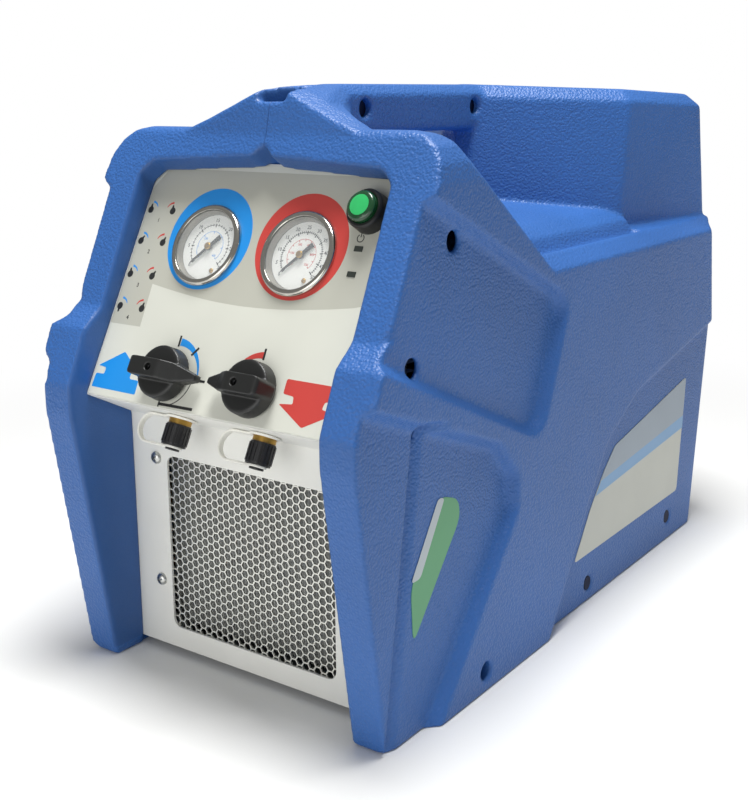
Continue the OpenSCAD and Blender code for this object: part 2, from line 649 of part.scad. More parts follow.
// Valves, knobs and ports
module valve_at(m) { frame() on_face() translate([m * knob_x, knob_v, 0]) children(); }
collar_z = film + 1.2;
module knob(m, turn) {
  color("#26272a") valve_at(m) rotate([0, 0, turn]) difference() {
    union() {
      translate([0, 0, collar_z + free_c]) rotate_extrude() polygon([[0, 0], [knob_d / 2, 0],
        [knob_d / 2 - 0.6, knob_h - 2.2],
        [knob_d / 2 - 2.4, knob_h - collar_z], [0, knob_h - collar_z]]);
      intersection() {
        translate([0, grip_w / 2, 0]) rotate([90, 0, 0]) linear_extrude(grip_w)
          polygon(soft([[-tail_l, 4, 1], [-tail_l + 1, grip_h, 2.5], [7, grip_h, 8], [17, 13, 6],
            [pointer_l, 9.5, 1], [pointer_l, 4, 1]]));
        linear_extrude(40) polygon(soft([[-tail_l, -grip_w / 2, 4.5], [-tail_l, grip_w / 2, 4.5],
          [14, grip_w / 2, 6],
          [pointer_l, 1.6, 1], [pointer_l, -1.6, 1], [14, -grip_w / 2, 6]]));
      }
    }
    translate([0, 0, -1]) cylinder(d = stem_d + 2 * fit_c, h = grip_h - 3);
    translate([0, 0, grip_h - 6]) cylinder(d = 4.4, h = 8);
  }
}
module knob_inlet() { knob(-1, 0); }
module knob_outlet() { knob(1, 180); }
module valve_stem(m) {
  color("#b9bcbe") valve_at(m) translate([0, 0, -14]) cylinder(d = stem_d, h = 14 + grip_h - 4.4);
}
module valve_stem_inlet() { valve_stem(-1); }
module valve_stem_outlet() { valve_stem(1); }
module valve_body(m) {
  color("#b08d4a") valve_at(m) difference() {
    union() {
      translate([-13, -17, -34]) cube([26, 31, 34 - sheet]);
      translate([0, 0, -sheet - e]) cylinder(d = stem_d + 8, h = collar_z + sheet + e);
    }
    translate([0, 0, -14 - free_c]) cylinder(d = stem_d + 2 * run_c, h = 40);
    translate([0, -17 - 1, -port_in]) rotate([-90, 0, 0]) cylinder(d = flare_d - 2 + 2 * fit_c, h = 7);
  }
}
module valve_body_inlet() { valve_body(-1); }
module valve_body_outlet() { valve_body(1); }
module port_at(m) { frame() on_face() translate([m * knob_x, 0, -port_in]) rotate([90, 0, 0])
  children(); }
module fitting(m) {
  color("#c29a4a") port_at(m) difference() {
    union() {
      translate([0, 0, -knob_v + 12]) cylinder(d = flare_d - 2, h = 8);
      translate([0, 0, -knob_v + 17]) cylinder(d = flare_d, h = -neck_v + knob_v - 17 + e);
      translate([0, 0, -neck_v]) cylinder(d = neck_d, h = neck_h);
      translate([0, 0, -neck_v + neck_h - e]) cylinder(d = flare_d, h = cap_l - 3.5);
      translate([0, 0, -neck_v + neck_h + cap_l - 3.5 - 2 * e])
        cylinder(d1 = flare_d, d2 = 6.6, h = 1.4);
    }
    translate([0, 0, -knob_v + 10]) cylinder(d = 4.8, h = 60);
  }
}
module fitting_inlet() { fitting(-1); }
module fitting_outlet() { fitting(1); }
module cap(m) {
  color("#232326") port_at(m) translate([0, 0, -cap_v]) difference() {
    union() {
      cylinder(d = cap_d - 0.9, h = cap_l);
      for (a = [0:20:340]) rotate([0, 0, a]) translate([cap_d / 2 - 0.9, -0.7, 0.8]) cube([0.9,
        1.4, cap_l - 2]);
      translate([0, 0, cap_l - e]) cylinder(d = 5, h = 1.7);
      translate([0, 0, cap_l + 1.6]) cylinder(d = 8.4, h = 1);
    }
    translate([0, 0, -1]) cylinder(d = flare_d + 2 * free_c, h = cap_l - 0.6);
  }
}
module cap_inlet() { cap(-1); }
module cap_outlet() { cap(1); }
module tether(m) {
  // Upper eye round the collar, loop, lower eye under the cap's button
  top_z = -neck_v + 0.3;
  low = -cap_v + cap_l + 0.1;
  r = (low + tether_t - top_z) / 2;
  color("#e6e5de") port_at(m) {
    difference() {
      union() {
        translate([0, 0, top_z]) cylinder(d = neck_d + 5, h = tether_t);
        translate([-tether_x + r, -2, top_z]) cube([tether_x - r, 4, tether_t]);
      }
      translate([0, 0, top_z - 1]) cylinder(d = neck_d + 2 * free_c, h = tether_t + 2);
    }
    difference() {
      union() {
        translate([0, 0, low]) cylinder(d = 11, h = tether_t);
        translate([-tether_x + r, -2, low]) cube([tether_x - r, 4, tether_t]);
      }
      translate([0, 0, low - 1]) cylinder(d = 5 + 2 * fit_c, h = tether_t + 2);
    }
    translate([-tether_x + r, 2, top_z + r]) rotate([90, 0, 0]) rotate([0, 0, 90])
      rotate_extrude(angle = 180)
      translate([r - tether_t, 0]) square([tether_t, 4]);
  }
}
module tether_inlet() { tether(-1); }
module tether_outlet() { tether(1); }

// Switch and lights
module switch_at() { frame() on_face() translate([switch_x, switch_v, 0]) children(); }
module switch_housing() {
  color("#1c1c1e") switch_at() difference() {
    union() {
      translate([0, 0, film]) rotate_extrude() polygon([[0, 0], [switch_d / 2, 0],
        [switch_d / 2 - 0.4, 8], [switch_d / 2 - 1.4, 9.4], [0, 9.4]]);
      translate([0, 0, -12]) cylinder(d = switch_d - 2 - 2 * fit_c, h = 12 + film + e);
      translate([-switch_d / 2 + 2, -switch_d / 2 + 2, -36]) cube([switch_d - 4, switch_d - 4, 24 + e]);
    }
    translate([0, 0, film + 3 - button_s - 0.5]) cylinder(d = button_d + 2 * free_c, h = 30);
  }
}
module switch_button() {
  color("#2fae5c") switch_at() translate([0, 0, film + 3]) rotate_extrude() polygon([[0, 0],
    [button_d / 2, 0],
    [button_d / 2, 8.6], [button_d / 2 - 0.9, 9.8], [button_d / 2 - 3, 10.4], [0, 10.8]]);
}
module indicator_lights() { color("#3a3f3a") frame() on_face() lights(0, -8, film + 0.5); }

// Condenser behind the mesh
core_half = win_half + 12.5;
core_z0 = win_z0 - 4;
core_z1 = win_z1 + 6;
core_y = low_y + 16;
core_d = 38;
tube_d = 8;
tube_y = [core_y + 10, core_y + core_d - 10];
tube_gap = (core_z1 - core_z0 - 24) / 5;
tube_z = [for (i = [0:5]) core_z0 + 11 + i * tube_gap];
tube_end = core_half + 5;
module condenser_fins() {
  color("#9fa4a8") frame() {
    for (i = [-12:12]) fin(i * core_half / 13, 0.8, core_z0, core_z1);
    for (s = [-1, 1]) fin(s * core_half, 1.6, tray_z, core_z1 + 3);
  }
}
module fin(x, t, z0, z1) {
  along_x(x - t / 2, x + t / 2) difference() {
    translate([core_y, z0]) square([core_d, z1 - z0]);
    for (y = tube_y, z = tube_z) translate([y, z]) circle(d = tube_d + 2 * fit_c);
  }
}
module condenser_tubes() {
  color("#b5713f") frame() {
    for (y = tube_y, z = tube_z) translate([0, y, z]) rod_x(-tube_end, tube_end, tube_d);
    for (y = tube_y, i = [0:4]) bend(y, tube_z[i], i % 2 == 0 ? 1 : -1);
    translate([-tube_end, (tube_y[0] + tube_y[1]) / 2, tube_z[5]]) rotate([0, 0, 90])
      rotate_extrude(angle = 180) translate([(tube_y[1] - tube_y[0]) / 2, 0]) circle(d = tube_d);
  }
}
module bend(y, z, s) {
  translate([s * tube_end, y, z + tube_gap / 2]) rotate([90, 0, 0]) rotate([0, 0, s > 0 ? -90 : 90])
    rotate_extrude(angle = 180) translate([tube_gap / 2, 0]) circle(d = tube_d);
}

// Fan, motor and compressor on one shaft
module on_shaft() { frame() translate([0, 0, shaft_z]) children(); }
shroud_y = core_y + core_d + 6;
module fan_shroud() {
  color("#2c2e31") on_shaft() difference() {
    union() {
      translate([-core_half - 8, shroud_y, tray_z - shaft_z]) cube([2 * core_half + 16, 2,
        core_z1 + 1 - tray_z]);
      rod_y(shroud_y, shroud_y + 22, fan_d + 8);
    }
    rod_y(shroud_y - 1, shroud_y + 30, fan_d + 3);
  }
}
module fan_rotor() {
  color("#3b3e42") on_shaft() difference() {
    union() {
      rod_y(shroud_y + 4, shroud_y + 20, 36);
      intersection() {
        for (i = [0:4]) rotate([0, i * 72, 0]) translate([0, shroud_y + 12, 0]) rotate([0, 0, 0])
          blade();
        rod_y(shroud_y + 3, shroud_y + 21, fan_d);
      }
    }
    rod_y(shroud_y, shroud_y + 30, shaft_d + 2 * fit_c);
  }
}
module blade() { rotate([0, 0, 28]) translate([-17, -1, 15]) cube([34, 2, fan_d / 2]); }
crank_y = motor_y + motor_l + 6;
module drive_shaft() { color("#aeb1b4") on_shaft() rod_y(shroud_y + 2, crank_y + crank_l - 12,
  shaft_d); }
module motor() {
  color("#4c5157") on_shaft() difference() {
    union() {
      rod_y(motor_y + 8, motor_y + motor_l - 8, motor_d);
      rod_y(motor_y, motor_y + motor_l, motor_d - 8);
      for (i = [-6:6]) rotate([0, i * 20, 0]) translate([-1, motor_y + 14, motor_d / 2 - 1])
        cube([2, motor_l - 28, 4]);
      translate([-foot_w / 2, motor_y + 14, -shaft_z + tray_z + mount_h]) cube([foot_w, motor_l - 28, 4]);
      for (s = [-1, 1]) translate([s * 26 - 4, motor_y + 14, -shaft_z + tray_z + mount_h])
        cube([8, motor_l - 28, shaft_z - tray_z - mount_h - motor_d / 4]);
    }
    rod_y(motor_y - 1, motor_y + motor_l + 1, shaft_d + 2 * run_c);
  }
}
module crankcase() {
  color("#8f9499") on_shaft() difference() {
    union() {
      rod_y(crank_y, crank_y + crank_l, crank_d);
      rod_y(crank_y - 6, crank_y + e, 50);
      translate([-24, crank_y + 12, 0]) cube([48, 46, barrel_z]);
      translate([-foot_w / 2, crank_y + 6, -shaft_z + tray_z + mount_h]) cube([foot_w, crank_l - 12, 4]);
      for (s = [-1, 1]) translate([s * 22 - 4, crank_y + 6, -shaft_z + tray_z + mount_h])
        cube([8, crank_l - 12, 42]);
    }
    rod_y(crank_y - 7, crank_y + crank_l - 10, shaft_d + 2 * run_c);
  }
}
module cylinder_head() {
  color("#6f757b") on_shaft() translate([0, crank_y + crank_l / 2, barrel_z]) {
    for (i = [0:4]) translate([-head_w / 2, -head_l / 2, 4 + i * 7]) cube([head_w, head_l, 3]);
    translate([-head_w / 2 + 6, -head_l / 2 + 4, 0]) cube([head_w - 12, head_l - 8, head_h]);
    for (s = [-1, 1]) translate([s * 14, 0, head_h - 1]) cylinder(d = 14, h = 10);
  }
}
module drive_mounts() {
  color("#2a2a2a") frame() for (x = [-mount_x, mount_x], y = [motor_y + 26,
    motor_y + motor_l - 26, crank_y + 16, crank_y + crank_l - 16])
    translate([x, y, tray_z]) cylinder(d = 18, h = mount_h);
}
module run_capacitor() {
  color("#d8dadb") frame() translate([room_w - can_d / 2 - 14.5, motor_y + motor_l / 2, tray_z]) {
    cylinder(d = can_d, h = can_h);
    translate([0, 0, can_h - e]) cylinder(d = can_d - 4, h = 4);
    for (s = [-1, 1]) translate([s * can_d / 5 - 3, -1, can_h + 3]) cube([6, 2, 9]);
  }
}

// Mains inlet and circuit breaker on the rear panel
module power_inlet() {
  color("#1e1e20") frame() translate([-46, plate_y, 34]) difference() {
    union() {
      translate([0, sheet + 3, 0]) rotate([90, 0, 0]) linear_extrude(3) rrect(-24, 24, -12, 12, 4);
      box(-13.7, 13.7, -20, sheet + e, -9.8, 9.8);
    }
    translate([0, sheet + 4, 0]) rotate([90, 0, 0]) linear_extrude(17)
      polygon([[-12, -8], [12, -8], [12, 4], [8, 8], [-8, 8], [-12, 4]]);
  }
}
module breaker_body() {
  color("#232326") frame() translate([10, plate_y, 34]) difference() {
    union() {
      rod_y(sheet, sheet + 3, 18);
      rod_y(-4, sheet + e, 14);
      box(-9, 9, -30, -4 + e, -16, 16);
    }
    rod_y(-3, sheet + 10, 9);
  }
}
module breaker_button() {
  color("#c9312c") frame() translate([10, plate_y, 34]) rod_y(-0.5, sheet + 6.5, 9 - 2 * free_c);
}

housing_right();
housing_left();
housing_screws();
chassis_base();
front_panel();
panel_overlay();
front_mesh();
panel_screws();
rear_panel();
gauge_case_suction();
gauge_case_discharge();
gauge_bezel_suction();
gauge_bezel_discharge();
gauge_dial_suction();
gauge_dial_discharge();
gauge_needle_suction();
gauge_needle_discharge();
gauge_lens_suction();
gauge_lens_discharge();
knob_inlet();
knob_outlet();
valve_stem_inlet();
valve_stem_outlet();
valve_body_inlet();
valve_body_outlet();
fitting_inlet();
fitting_outlet();
cap_inlet();
cap_outlet();
tether_inlet();
tether_outlet();
switch_housing();
switch_button();
indicator_lights();
condenser_fins();
condenser_tubes();
fan_shroud();
fan_rotor();
drive_shaft();
motor();
crankcase();
cylinder_head();
drive_mounts();
run_capacitor();
power_inlet();
breaker_body();
breaker_button();
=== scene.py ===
"""Looks of a portable refrigerant recovery machine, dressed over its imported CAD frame.

The blue shell is rotationally moulded polyethylene, so its edges are softened from the CAD solid.
Millimetre values are used throughout and turned to metres where a mesh is made. The stage is in metres.
"""

import math

import bmesh
import bpy
from bpy.props import FloatProperty, FloatVectorProperty, IntProperty, PointerProperty
from mathutils import Matrix, Vector


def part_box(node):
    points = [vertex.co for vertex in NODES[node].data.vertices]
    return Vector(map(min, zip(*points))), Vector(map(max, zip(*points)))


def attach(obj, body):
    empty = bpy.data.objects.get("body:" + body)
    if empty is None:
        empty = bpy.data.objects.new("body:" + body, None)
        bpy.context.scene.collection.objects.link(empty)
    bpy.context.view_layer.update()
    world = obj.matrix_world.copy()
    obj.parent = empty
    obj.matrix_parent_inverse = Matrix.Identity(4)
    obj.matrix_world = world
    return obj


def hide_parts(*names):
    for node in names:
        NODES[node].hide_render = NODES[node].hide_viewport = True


bl_info = {
    "name": "Refrigerant recovery machine",
    "version": (1, 0, 0),
    "blender": (4, 5, 0),
    "location": "View3D > Sidebar > Recovery",
    "description": "Dresses the packed frame of a recovery machine with its finishes and fine parts",
    "category": "Object",
}

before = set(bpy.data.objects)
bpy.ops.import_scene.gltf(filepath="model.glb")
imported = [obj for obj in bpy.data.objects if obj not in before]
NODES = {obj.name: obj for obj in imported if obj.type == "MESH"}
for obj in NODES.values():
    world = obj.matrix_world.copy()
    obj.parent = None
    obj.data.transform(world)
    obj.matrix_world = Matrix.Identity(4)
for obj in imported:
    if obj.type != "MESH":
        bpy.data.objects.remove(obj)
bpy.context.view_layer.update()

MM = 0.001
# Lean and reference line of the control face, and the upright lower face
TILT = math.radians(27.5)
FACE_Y, FACE_Z = -187.5, 268.4
LOW_Y = -201.2
# Front foot's distance from the origin, and the floor of the right side pockets
MID_Y = 225.0
POCKET_X = 117.5
# Places on the control face, across and up from its reference line, and the film's front above it
GAUGE_X, GAUGE_V = 35.0, -4.5
VALVE_X, VALVE_V = 32.6, -85.0
SWITCH = (77.0, 22.0)
FILM_TOP = 0.4
# Panel screws on the lower face
SCREW_X, SCREW_LOW, SCREW_HIGH = 74.4, 49.0, 130.0
# Width of each half's side of the groove between the housing halves
SEAM_GROOVE = 0.4 * MM


def srgb(code, alpha=1.0):
    """Linear RGBA of an sRGB hex colour."""
    parts = [int(code[i:i + 2], 16) / 255 for i in (1, 3, 5)]
    return [c / 12.92 if c <= 0.04045 else ((c + 0.055) / 1.055) ** 2.4 for c in parts] + [alpha]


def colour(name, code, description):
    """Colour property with an sRGB hex default."""
    return FloatVectorProperty(name=name, description=description, subtype="COLOR", size=4,
                               min=0, max=1, default=srgb(code))


def length(name, millimetres, description):
    """Length property whose default is given in millimetres."""
    return FloatProperty(name=name, description=description, default=millimetres * MM,
                         min=0, precision=5, unit="LENGTH")


# Sizes and colours that a user would change
class ShellSettings(bpy.types.PropertyGroup):
    blue: colour("Blue", "#2f62a8", "Pigment of the moulded shell")
    voxel: length("Voxel", 1.3, "Cell size of the softened shell")
    softness: IntProperty(name="Softness", description="Smoothing passes that round the edges",
                          default=14, min=0, max=30)
    grain: length("Grain", 1.7, "Width of one pebble of the moulded leather grain")


class PanelSettings(bpy.types.PropertyGroup):
    steel: colour("Steel", "#eaeae4", "Powder coat of the folded front panel")
    film: colour("Film", "#d5d6cb", "Printed polyester film on the control face")
    grey: colour("Grey zone", "#b9b9ad", "Upper printed zone of the control face")
    blue: colour("Inlet blue", "#1f8fe0", "Print colour of the suction side")
    red: colour("Outlet red", "#c8453f", "Print colour of the discharge side")
    hole: length("Mesh hole", 4.4, "Hole of the perforated sheet across flats")
    pitch: length("Mesh pitch", 5.3, "Hole spacing of the perforated sheet")


class ControlSettings(bpy.types.PropertyGroup):
    black: colour("Black", "#181918", "Moulded knobs, caps and switch body")
    green: colour("Green", "#2aa75c", "Lens of the power button")
    tether: colour("Tether", "#f3f2ea", "Soft strap of the port caps")


class StageSettings(bpy.types.PropertyGroup):
    floor: colour("Floor", "#f4f4f2", "Pale studio floor")
    key: FloatProperty(name="Key light", description="Power of the overhead soft box",
                       default=30.0, min=0, unit="POWER")
    fill: FloatProperty(name="Fill light", description="Power of the front soft box",
                        default=7.0, min=0, unit="POWER")
    world: FloatProperty(name="World light", description="Strength of the even room light",
                         default=0.27, min=0)


# Placing
def on_face(u, v, n=0.0):
    """Point on the tilted control face: u across, v up the face, n out of it."""
    return Vector((u, FACE_Y + v * math.sin(TILT) - n * math.cos(TILT),
                   FACE_Z + v * math.cos(TILT) + n * math.sin(TILT))) * MM


def on_low(x, z, n=0.0):
    """Point on the upright lower panel."""
    return Vector((x, LOW_Y - n, z)) * MM


def on_side(y, z, n=0.0):
    """Point on the right pocket face, y from the front foot."""
    return Vector((POCKET_X + n, y - MID_Y, z)) * MM


def in_frame(x, z, y):
    """Point of the machine's frame, given across, up and then back."""
    return Vector((x, y, z)) * MM


def polar(centre, radius, angle):
    """Point at that radius and angle, in degrees, about a centre."""
    return (centre[0] + radius * math.cos(math.radians(angle)),
            centre[1] + radius * math.sin(math.radians(angle)))


def placed(matrix):
    """Placing function of a matrix, for points in millimetres."""
    return lambda a, b, n: matrix @ Vector((a * MM, b * MM, n * MM))


def circle(cx, cy, radius, count=48, start=0.0, sweep=360.0):
    """Points of a circle, or of an arc with both ends where the sweep is less than a turn."""
    full = abs(sweep) >= 360
    steps = count if full else count - 1
    return [polar((cx, cy), radius, start + sweep * i / steps) for i in range(count)]


def rounded(points, radius, steps=5):
    """Polygon with each corner turned into a curve that starts radius from the corner."""
    out = []
    for i, p in enumerate(points):
        a, b = Vector(points[i - 1]), Vector(points[(i + 1) % len(points)])
        q = Vector(p)
        da, db = a - q, b - q
        s = q + da.normalized() * min(radius, da.length * 0.45)
        t = q + db.normalized() * min(radius, db.length * 0.45)
        for k in range(steps + 1):
            w = k / steps
            out.append(tuple(s * (1 - w) ** 2 + q * (2 * w * (1 - w)) + t * w ** 2))
    return out


# Meshes
def new_object(name, data):
    """Object of a mesh, curve, lamp or camera, linked to the scene."""
    obj = bpy.data.objects.new(name, data)
    bpy.context.scene.collection.objects.link(obj)
    return obj


def from_bmesh(name, bm, mat, smooth_angle=None):
    """Object of a bmesh, with sharp edges kept where faces meet above the angle."""
    bmesh.ops.recalc_face_normals(bm, faces=bm.faces)
    mesh = bpy.data.meshes.new(name)
    bm.to_mesh(mesh)
    bm.free()
    mesh.materials.append(mat)
    if smooth_angle is not None:
        mesh.shade_smooth()
        mesh.set_sharp_from_angle(angle=math.radians(smooth_angle))
    return new_object(name, mesh)


def slab(bm, outline, place, low, high, hole=None):
    """Adds a thin printed or cut shape: outline points, placed from low to high, with one hole of as
    many points."""
    rings = []
    for loop in (outline, hole):
        if loop:
            rings.append([[bm.verts.new(place(a, b, n)) for a, b in loop] for n in (low, high)])
    count = len(outline)
    for lower, upper in rings:
        for i in range(count):
            j = (i + 1) % count
            bm.faces.new((lower[i], lower[j], upper[j], upper[i]))
    if hole:
        for level in (0, 1):
            for i in range(count):
                j = (i + 1) % count
                outer, inner = rings[0][level], rings[1][level]
                bm.faces.new((outer[i], outer[j], inner[j], inner[i]))
    else:
        for ring in rings[0]:
            bm.faces.new(ring)


def band(bm, centre, place, low, high, start, sweep, inner, outer, steps=28):
    """Adds a curved print band whose inner and outer radius go from their first to their second value."""
    inside, outside = [], []
    for i in range(steps + 1):
        t = i / steps
        inside.append(polar(centre, inner[0] + (inner[1] - inner[0]) * t, start + sweep * t))
        outside.append(polar(centre, outer[0] + (outer[1] - outer[0]) * t, start + sweep * t))
    slab(bm, inside + outside[::-1], place, low, high)


def stroke(bm, p, q, width, place, low, high):
    """Adds a straight printed line of that width."""
    p, q = Vector(p), Vector(q)
    d = (q - p).normalized()
    n = Vector((-d.y, d.x)) * width / 2
    slab(bm, [tuple(p + n), tuple(p - n), tuple(q - n), tuple(q + n)], place, low, high)


def lathe(bm, profile, matrix, steps=48):
    """Adds a turned body: profile points are (radius, height) in millimetres about the matrix's Z."""
    place = placed(matrix)
    rings = []
    for radius, height in profile:
        points = circle(0, 0, radius, steps) if radius else [(0, 0)]
        rings.append([bm.verts.new(place(a, b, height)) for a, b in points])
    for a, b in zip(rings, rings[1:]):
        for i in range(steps):
            j = (i + 1) % steps
            if len(a) == 1 and len(b) > 1:
                bm.faces.new((a[0], b[j], b[i]))
            elif len(b) == 1 and len(a) > 1:
                bm.faces.new((a[i], a[j], b[0]))
            elif len(a) > 1:
                bm.faces.new((a[i], a[j], b[j], b[i]))
    for ring in (rings[0], rings[-1]):
        if len(ring) > 1:
            bm.faces.new(ring)


def face_matrix(u, v, n=0.0, turn=0.0):
    """Frame on the control face with Z out of the face."""
    return (Matrix.Translation(on_face(u, v, n)) @ Matrix.Rotation(math.pi / 2 - TILT, 4, "X")
            @ Matrix.Rotation(math.radians(turn), 4, "Z"))


def low_matrix(x, z, n=0.0, turn=0.0):
    """Frame on the lower panel with Z out of the panel."""
    return (Matrix.Translation(on_low(x, z, n)) @ Matrix.Rotation(math.pi / 2, 4, "X")
            @ Matrix.Rotation(math.radians(turn), 4, "Z"))


def filled(curve, matrix, mat):
    """Mesh object of a flat curve, laid on the matrix."""
    holder = new_object(curve.name, curve)
    bpy.context.view_layer.update()
    mesh = bpy.data.meshes.new_from_object(holder)
    name = curve.name
    bpy.data.objects.remove(holder)
    bpy.data.curves.remove(curve)
    mesh.transform(matrix)
    mesh.materials.clear()
    mesh.materials.append(mat)
    return new_object(name, mesh)


def writing(text, size, matrix, mat, name):
    """Flat figures of that height in millimetres, centred on the matrix."""
    line_per_figure, bolder = 1.4, 0.02
    curve = bpy.data.curves.new(name, "FONT")
    curve.body = text
    curve.size = size * MM * line_per_figure
    curve.offset = size * MM * bolder
    curve.align_x, curve.align_y = "CENTER", "CENTER"
    curve.extrude = 0.03 * MM
    curve.resolution_u = 3
    return filled(curve, matrix, mat)


def printed_area(loops, matrix, mat, name):
    """Printed area with openings: the first loop is its outline, in millimetres on the matrix."""
    curve = bpy.data.curves.new(name, "CURVE")
    curve.dimensions, curve.fill_mode = "2D", "BOTH"
    curve.extrude = 0.008 * MM
    for loop in loops:
        spline = curve.splines.new("POLY")
        spline.points.add(len(loop) - 1)
        spline.use_cyclic_u = True
        for point, (a, b) in zip(spline.points, loop):
            point.co = (a * MM, b * MM, 0, 1)
    return filled(curve, matrix, mat)


def joined(name, objects):
    """One object of several, materials kept."""
    with bpy.context.temp_override(active_object=objects[0], object=objects[0],
                                   selected_objects=objects, selected_editable_objects=objects):
        bpy.ops.object.join()
    objects[0].name = name
    objects[0].data.name = name
    return objects[0]


def welded(node):
    """Bmesh of a CAD node with its split corners joined."""
    bm = bmesh.new()
    bm.from_mesh(NODES[node].data)
    bmesh.ops.remove_doubles(bm, verts=bm.verts, dist=0.002 * MM)
    return bm


def eased(node, mat, body, edge=0.3, angle=32.0):
    """Copy of a CAD node with its sharp edges eased by a small bevel, shown in the node's place."""
    flat_angle, smooth_angle = 0.4, 28
    bm = welded(node)
    bmesh.ops.dissolve_limit(bm, angle_limit=math.radians(flat_angle), verts=bm.verts, edges=bm.edges)
    obj = from_bmesh(node + "_finish", bm, mat, smooth_angle)
    bevel = obj.modifiers.new("eased edges", "BEVEL")
    bevel.width = edge * MM
    bevel.segments = 2
    bevel.limit_method = "ANGLE"
    bevel.angle_limit = math.radians(angle)
    bevel.harden_normals = True
    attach(obj, body)
    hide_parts(node)
    return obj


def evaluated(obj, mat):
    """Leaves an object with the mesh that its modifiers make, in that material."""
    bpy.context.view_layer.update()
    mesh = bpy.data.meshes.new_from_object(obj.evaluated_get(bpy.context.evaluated_depsgraph_get()))
    obj.modifiers.clear()
    obj.data = mesh
    if not mesh.materials:
        mesh.materials.append(mat)


def twinned(bm, overlap):
    """Adds the mirror image of a half that ends on x = 0, both carried past the plane to overlap."""
    for v in bm.verts:
        if v.co.x < overlap:
            v.co.x = -overlap
    twin = bmesh.ops.duplicate(bm, geom=bm.verts[:] + bm.edges[:] + bm.faces[:])["geom"]
    for v in twin:
        if isinstance(v, bmesh.types.BMVert):
            v.co.x = -v.co.x
    bmesh.ops.reverse_faces(bm, faces=[f for f in twin if isinstance(f, bmesh.types.BMFace)])


def parted(mesh, groove):
    """Keeps the right half of a mesh, cut beside x = 0. Its rim is sunk to the plane and closed there,
    so that two halves meet in a shallow groove with no gap to see through."""
    bm = bmesh.new()
    bm.from_mesh(mesh)
    cut = bmesh.ops.bisect_plane(bm, geom=bm.verts[:] + bm.edges[:] + bm.faces[:],
                                 plane_co=(groove, 0, 0), plane_no=(1, 0, 0), clear_inner=True)["geom_cut"]
    bm.normal_update()
    rim = [e for e in cut if isinstance(e, bmesh.types.BMEdge)]
    sunk = bmesh.ops.extrude_edge_only(bm, edges=rim)["geom"]
    corners = {v for v in sunk if isinstance(v, bmesh.types.BMVert)}
    for v in corners:
        source = next(e.other_vert(v) for e in v.link_edges if e.other_vert(v) not in corners)
        inward = Vector((0, source.normal.y, source.normal.z)).normalized() * groove
        v.co = Vector((0, source.co.y, source.co.z)) - inward
    floor = [e for e in sunk if isinstance(e, bmesh.types.BMEdge) and corners.issuperset(e.verts)]
    bmesh.ops.triangle_fill(bm, edges=floor, use_beauty=True)
    for e in rim + floor:
        e.smooth = False
    bmesh.ops.recalc_face_normals(bm, faces=bm.faces)
    bm.to_mesh(mesh)
    bm.free()


def softened(node, mat, voxel, passes, thin=1.0, half=False):
    """Copy of a CAD node remeshed to even cells and smoothed, which rounds edges as moulding does, then
    thinned to a share of its faces. A half is smoothed as one with its twin, for a true parting edge."""
    bm = welded(node)
    if half:
        twinned(bm, voxel / 2)
    obj = from_bmesh(node + "_finish", bm, mat)
    remesh = obj.modifiers.new("cells", "REMESH")
    remesh.mode = "VOXEL"
    remesh.voxel_size = voxel
    smooth = obj.modifiers.new("round edges", "SMOOTH")
    smooth.factor = 0.5
    smooth.iterations = passes
    if thin < 1:
        sparse = obj.modifiers.new("fewer faces", "DECIMATE")
        sparse.ratio = thin
    evaluated(obj, mat)
    if half:
        parted(obj.data, SEAM_GROOVE)
    for poly in obj.data.polygons:
        poly.use_smooth = True
    return obj


# Materials
def add(tree, kind, links=(), to=(), ramp=(), **settings):
    """Adds a node, sets its fields, inputs and ramp stops, and links sockets into it and out of it."""
    node = tree.nodes.new(kind)
    for key, value in settings.items():
        if hasattr(node, key):
            setattr(node, key, value)
        else:
            node.inputs[key.replace("_", " ")].default_value = value
    for stop, (position, shade) in enumerate(ramp):
        element = node.color_ramp.elements[stop]
        element.position, element.color = position, shade
    for source, target in links:
        tree.links.new(source, node.inputs[target])
    for output, target in to:
        tree.links.new(node.outputs[output], target)
    return node


def material(name, base, rough, metal=0.0, ior=1.5, alpha=1.0):
    """Principled material with its even values set on the shader itself."""
    mat = bpy.data.materials.new(name)
    mat.use_nodes = True
    shader = mat.node_tree.nodes["Principled BSDF"]
    shader.inputs["Base Color"].default_value = base
    shader.inputs["Roughness"].default_value = rough
    shader.inputs["Metallic"].default_value = metal
    if metal < 0.5:
        shader.inputs["IOR"].default_value = ior
    shader.inputs["Alpha"].default_value = alpha
    mat.diffuse_color = base
    return mat, mat.node_tree, shader


def scaled(colour_value, factor):
    """Lighter or darker shade of a linear colour."""
    return [c * factor for c in colour_value[:3]] + [1.0]


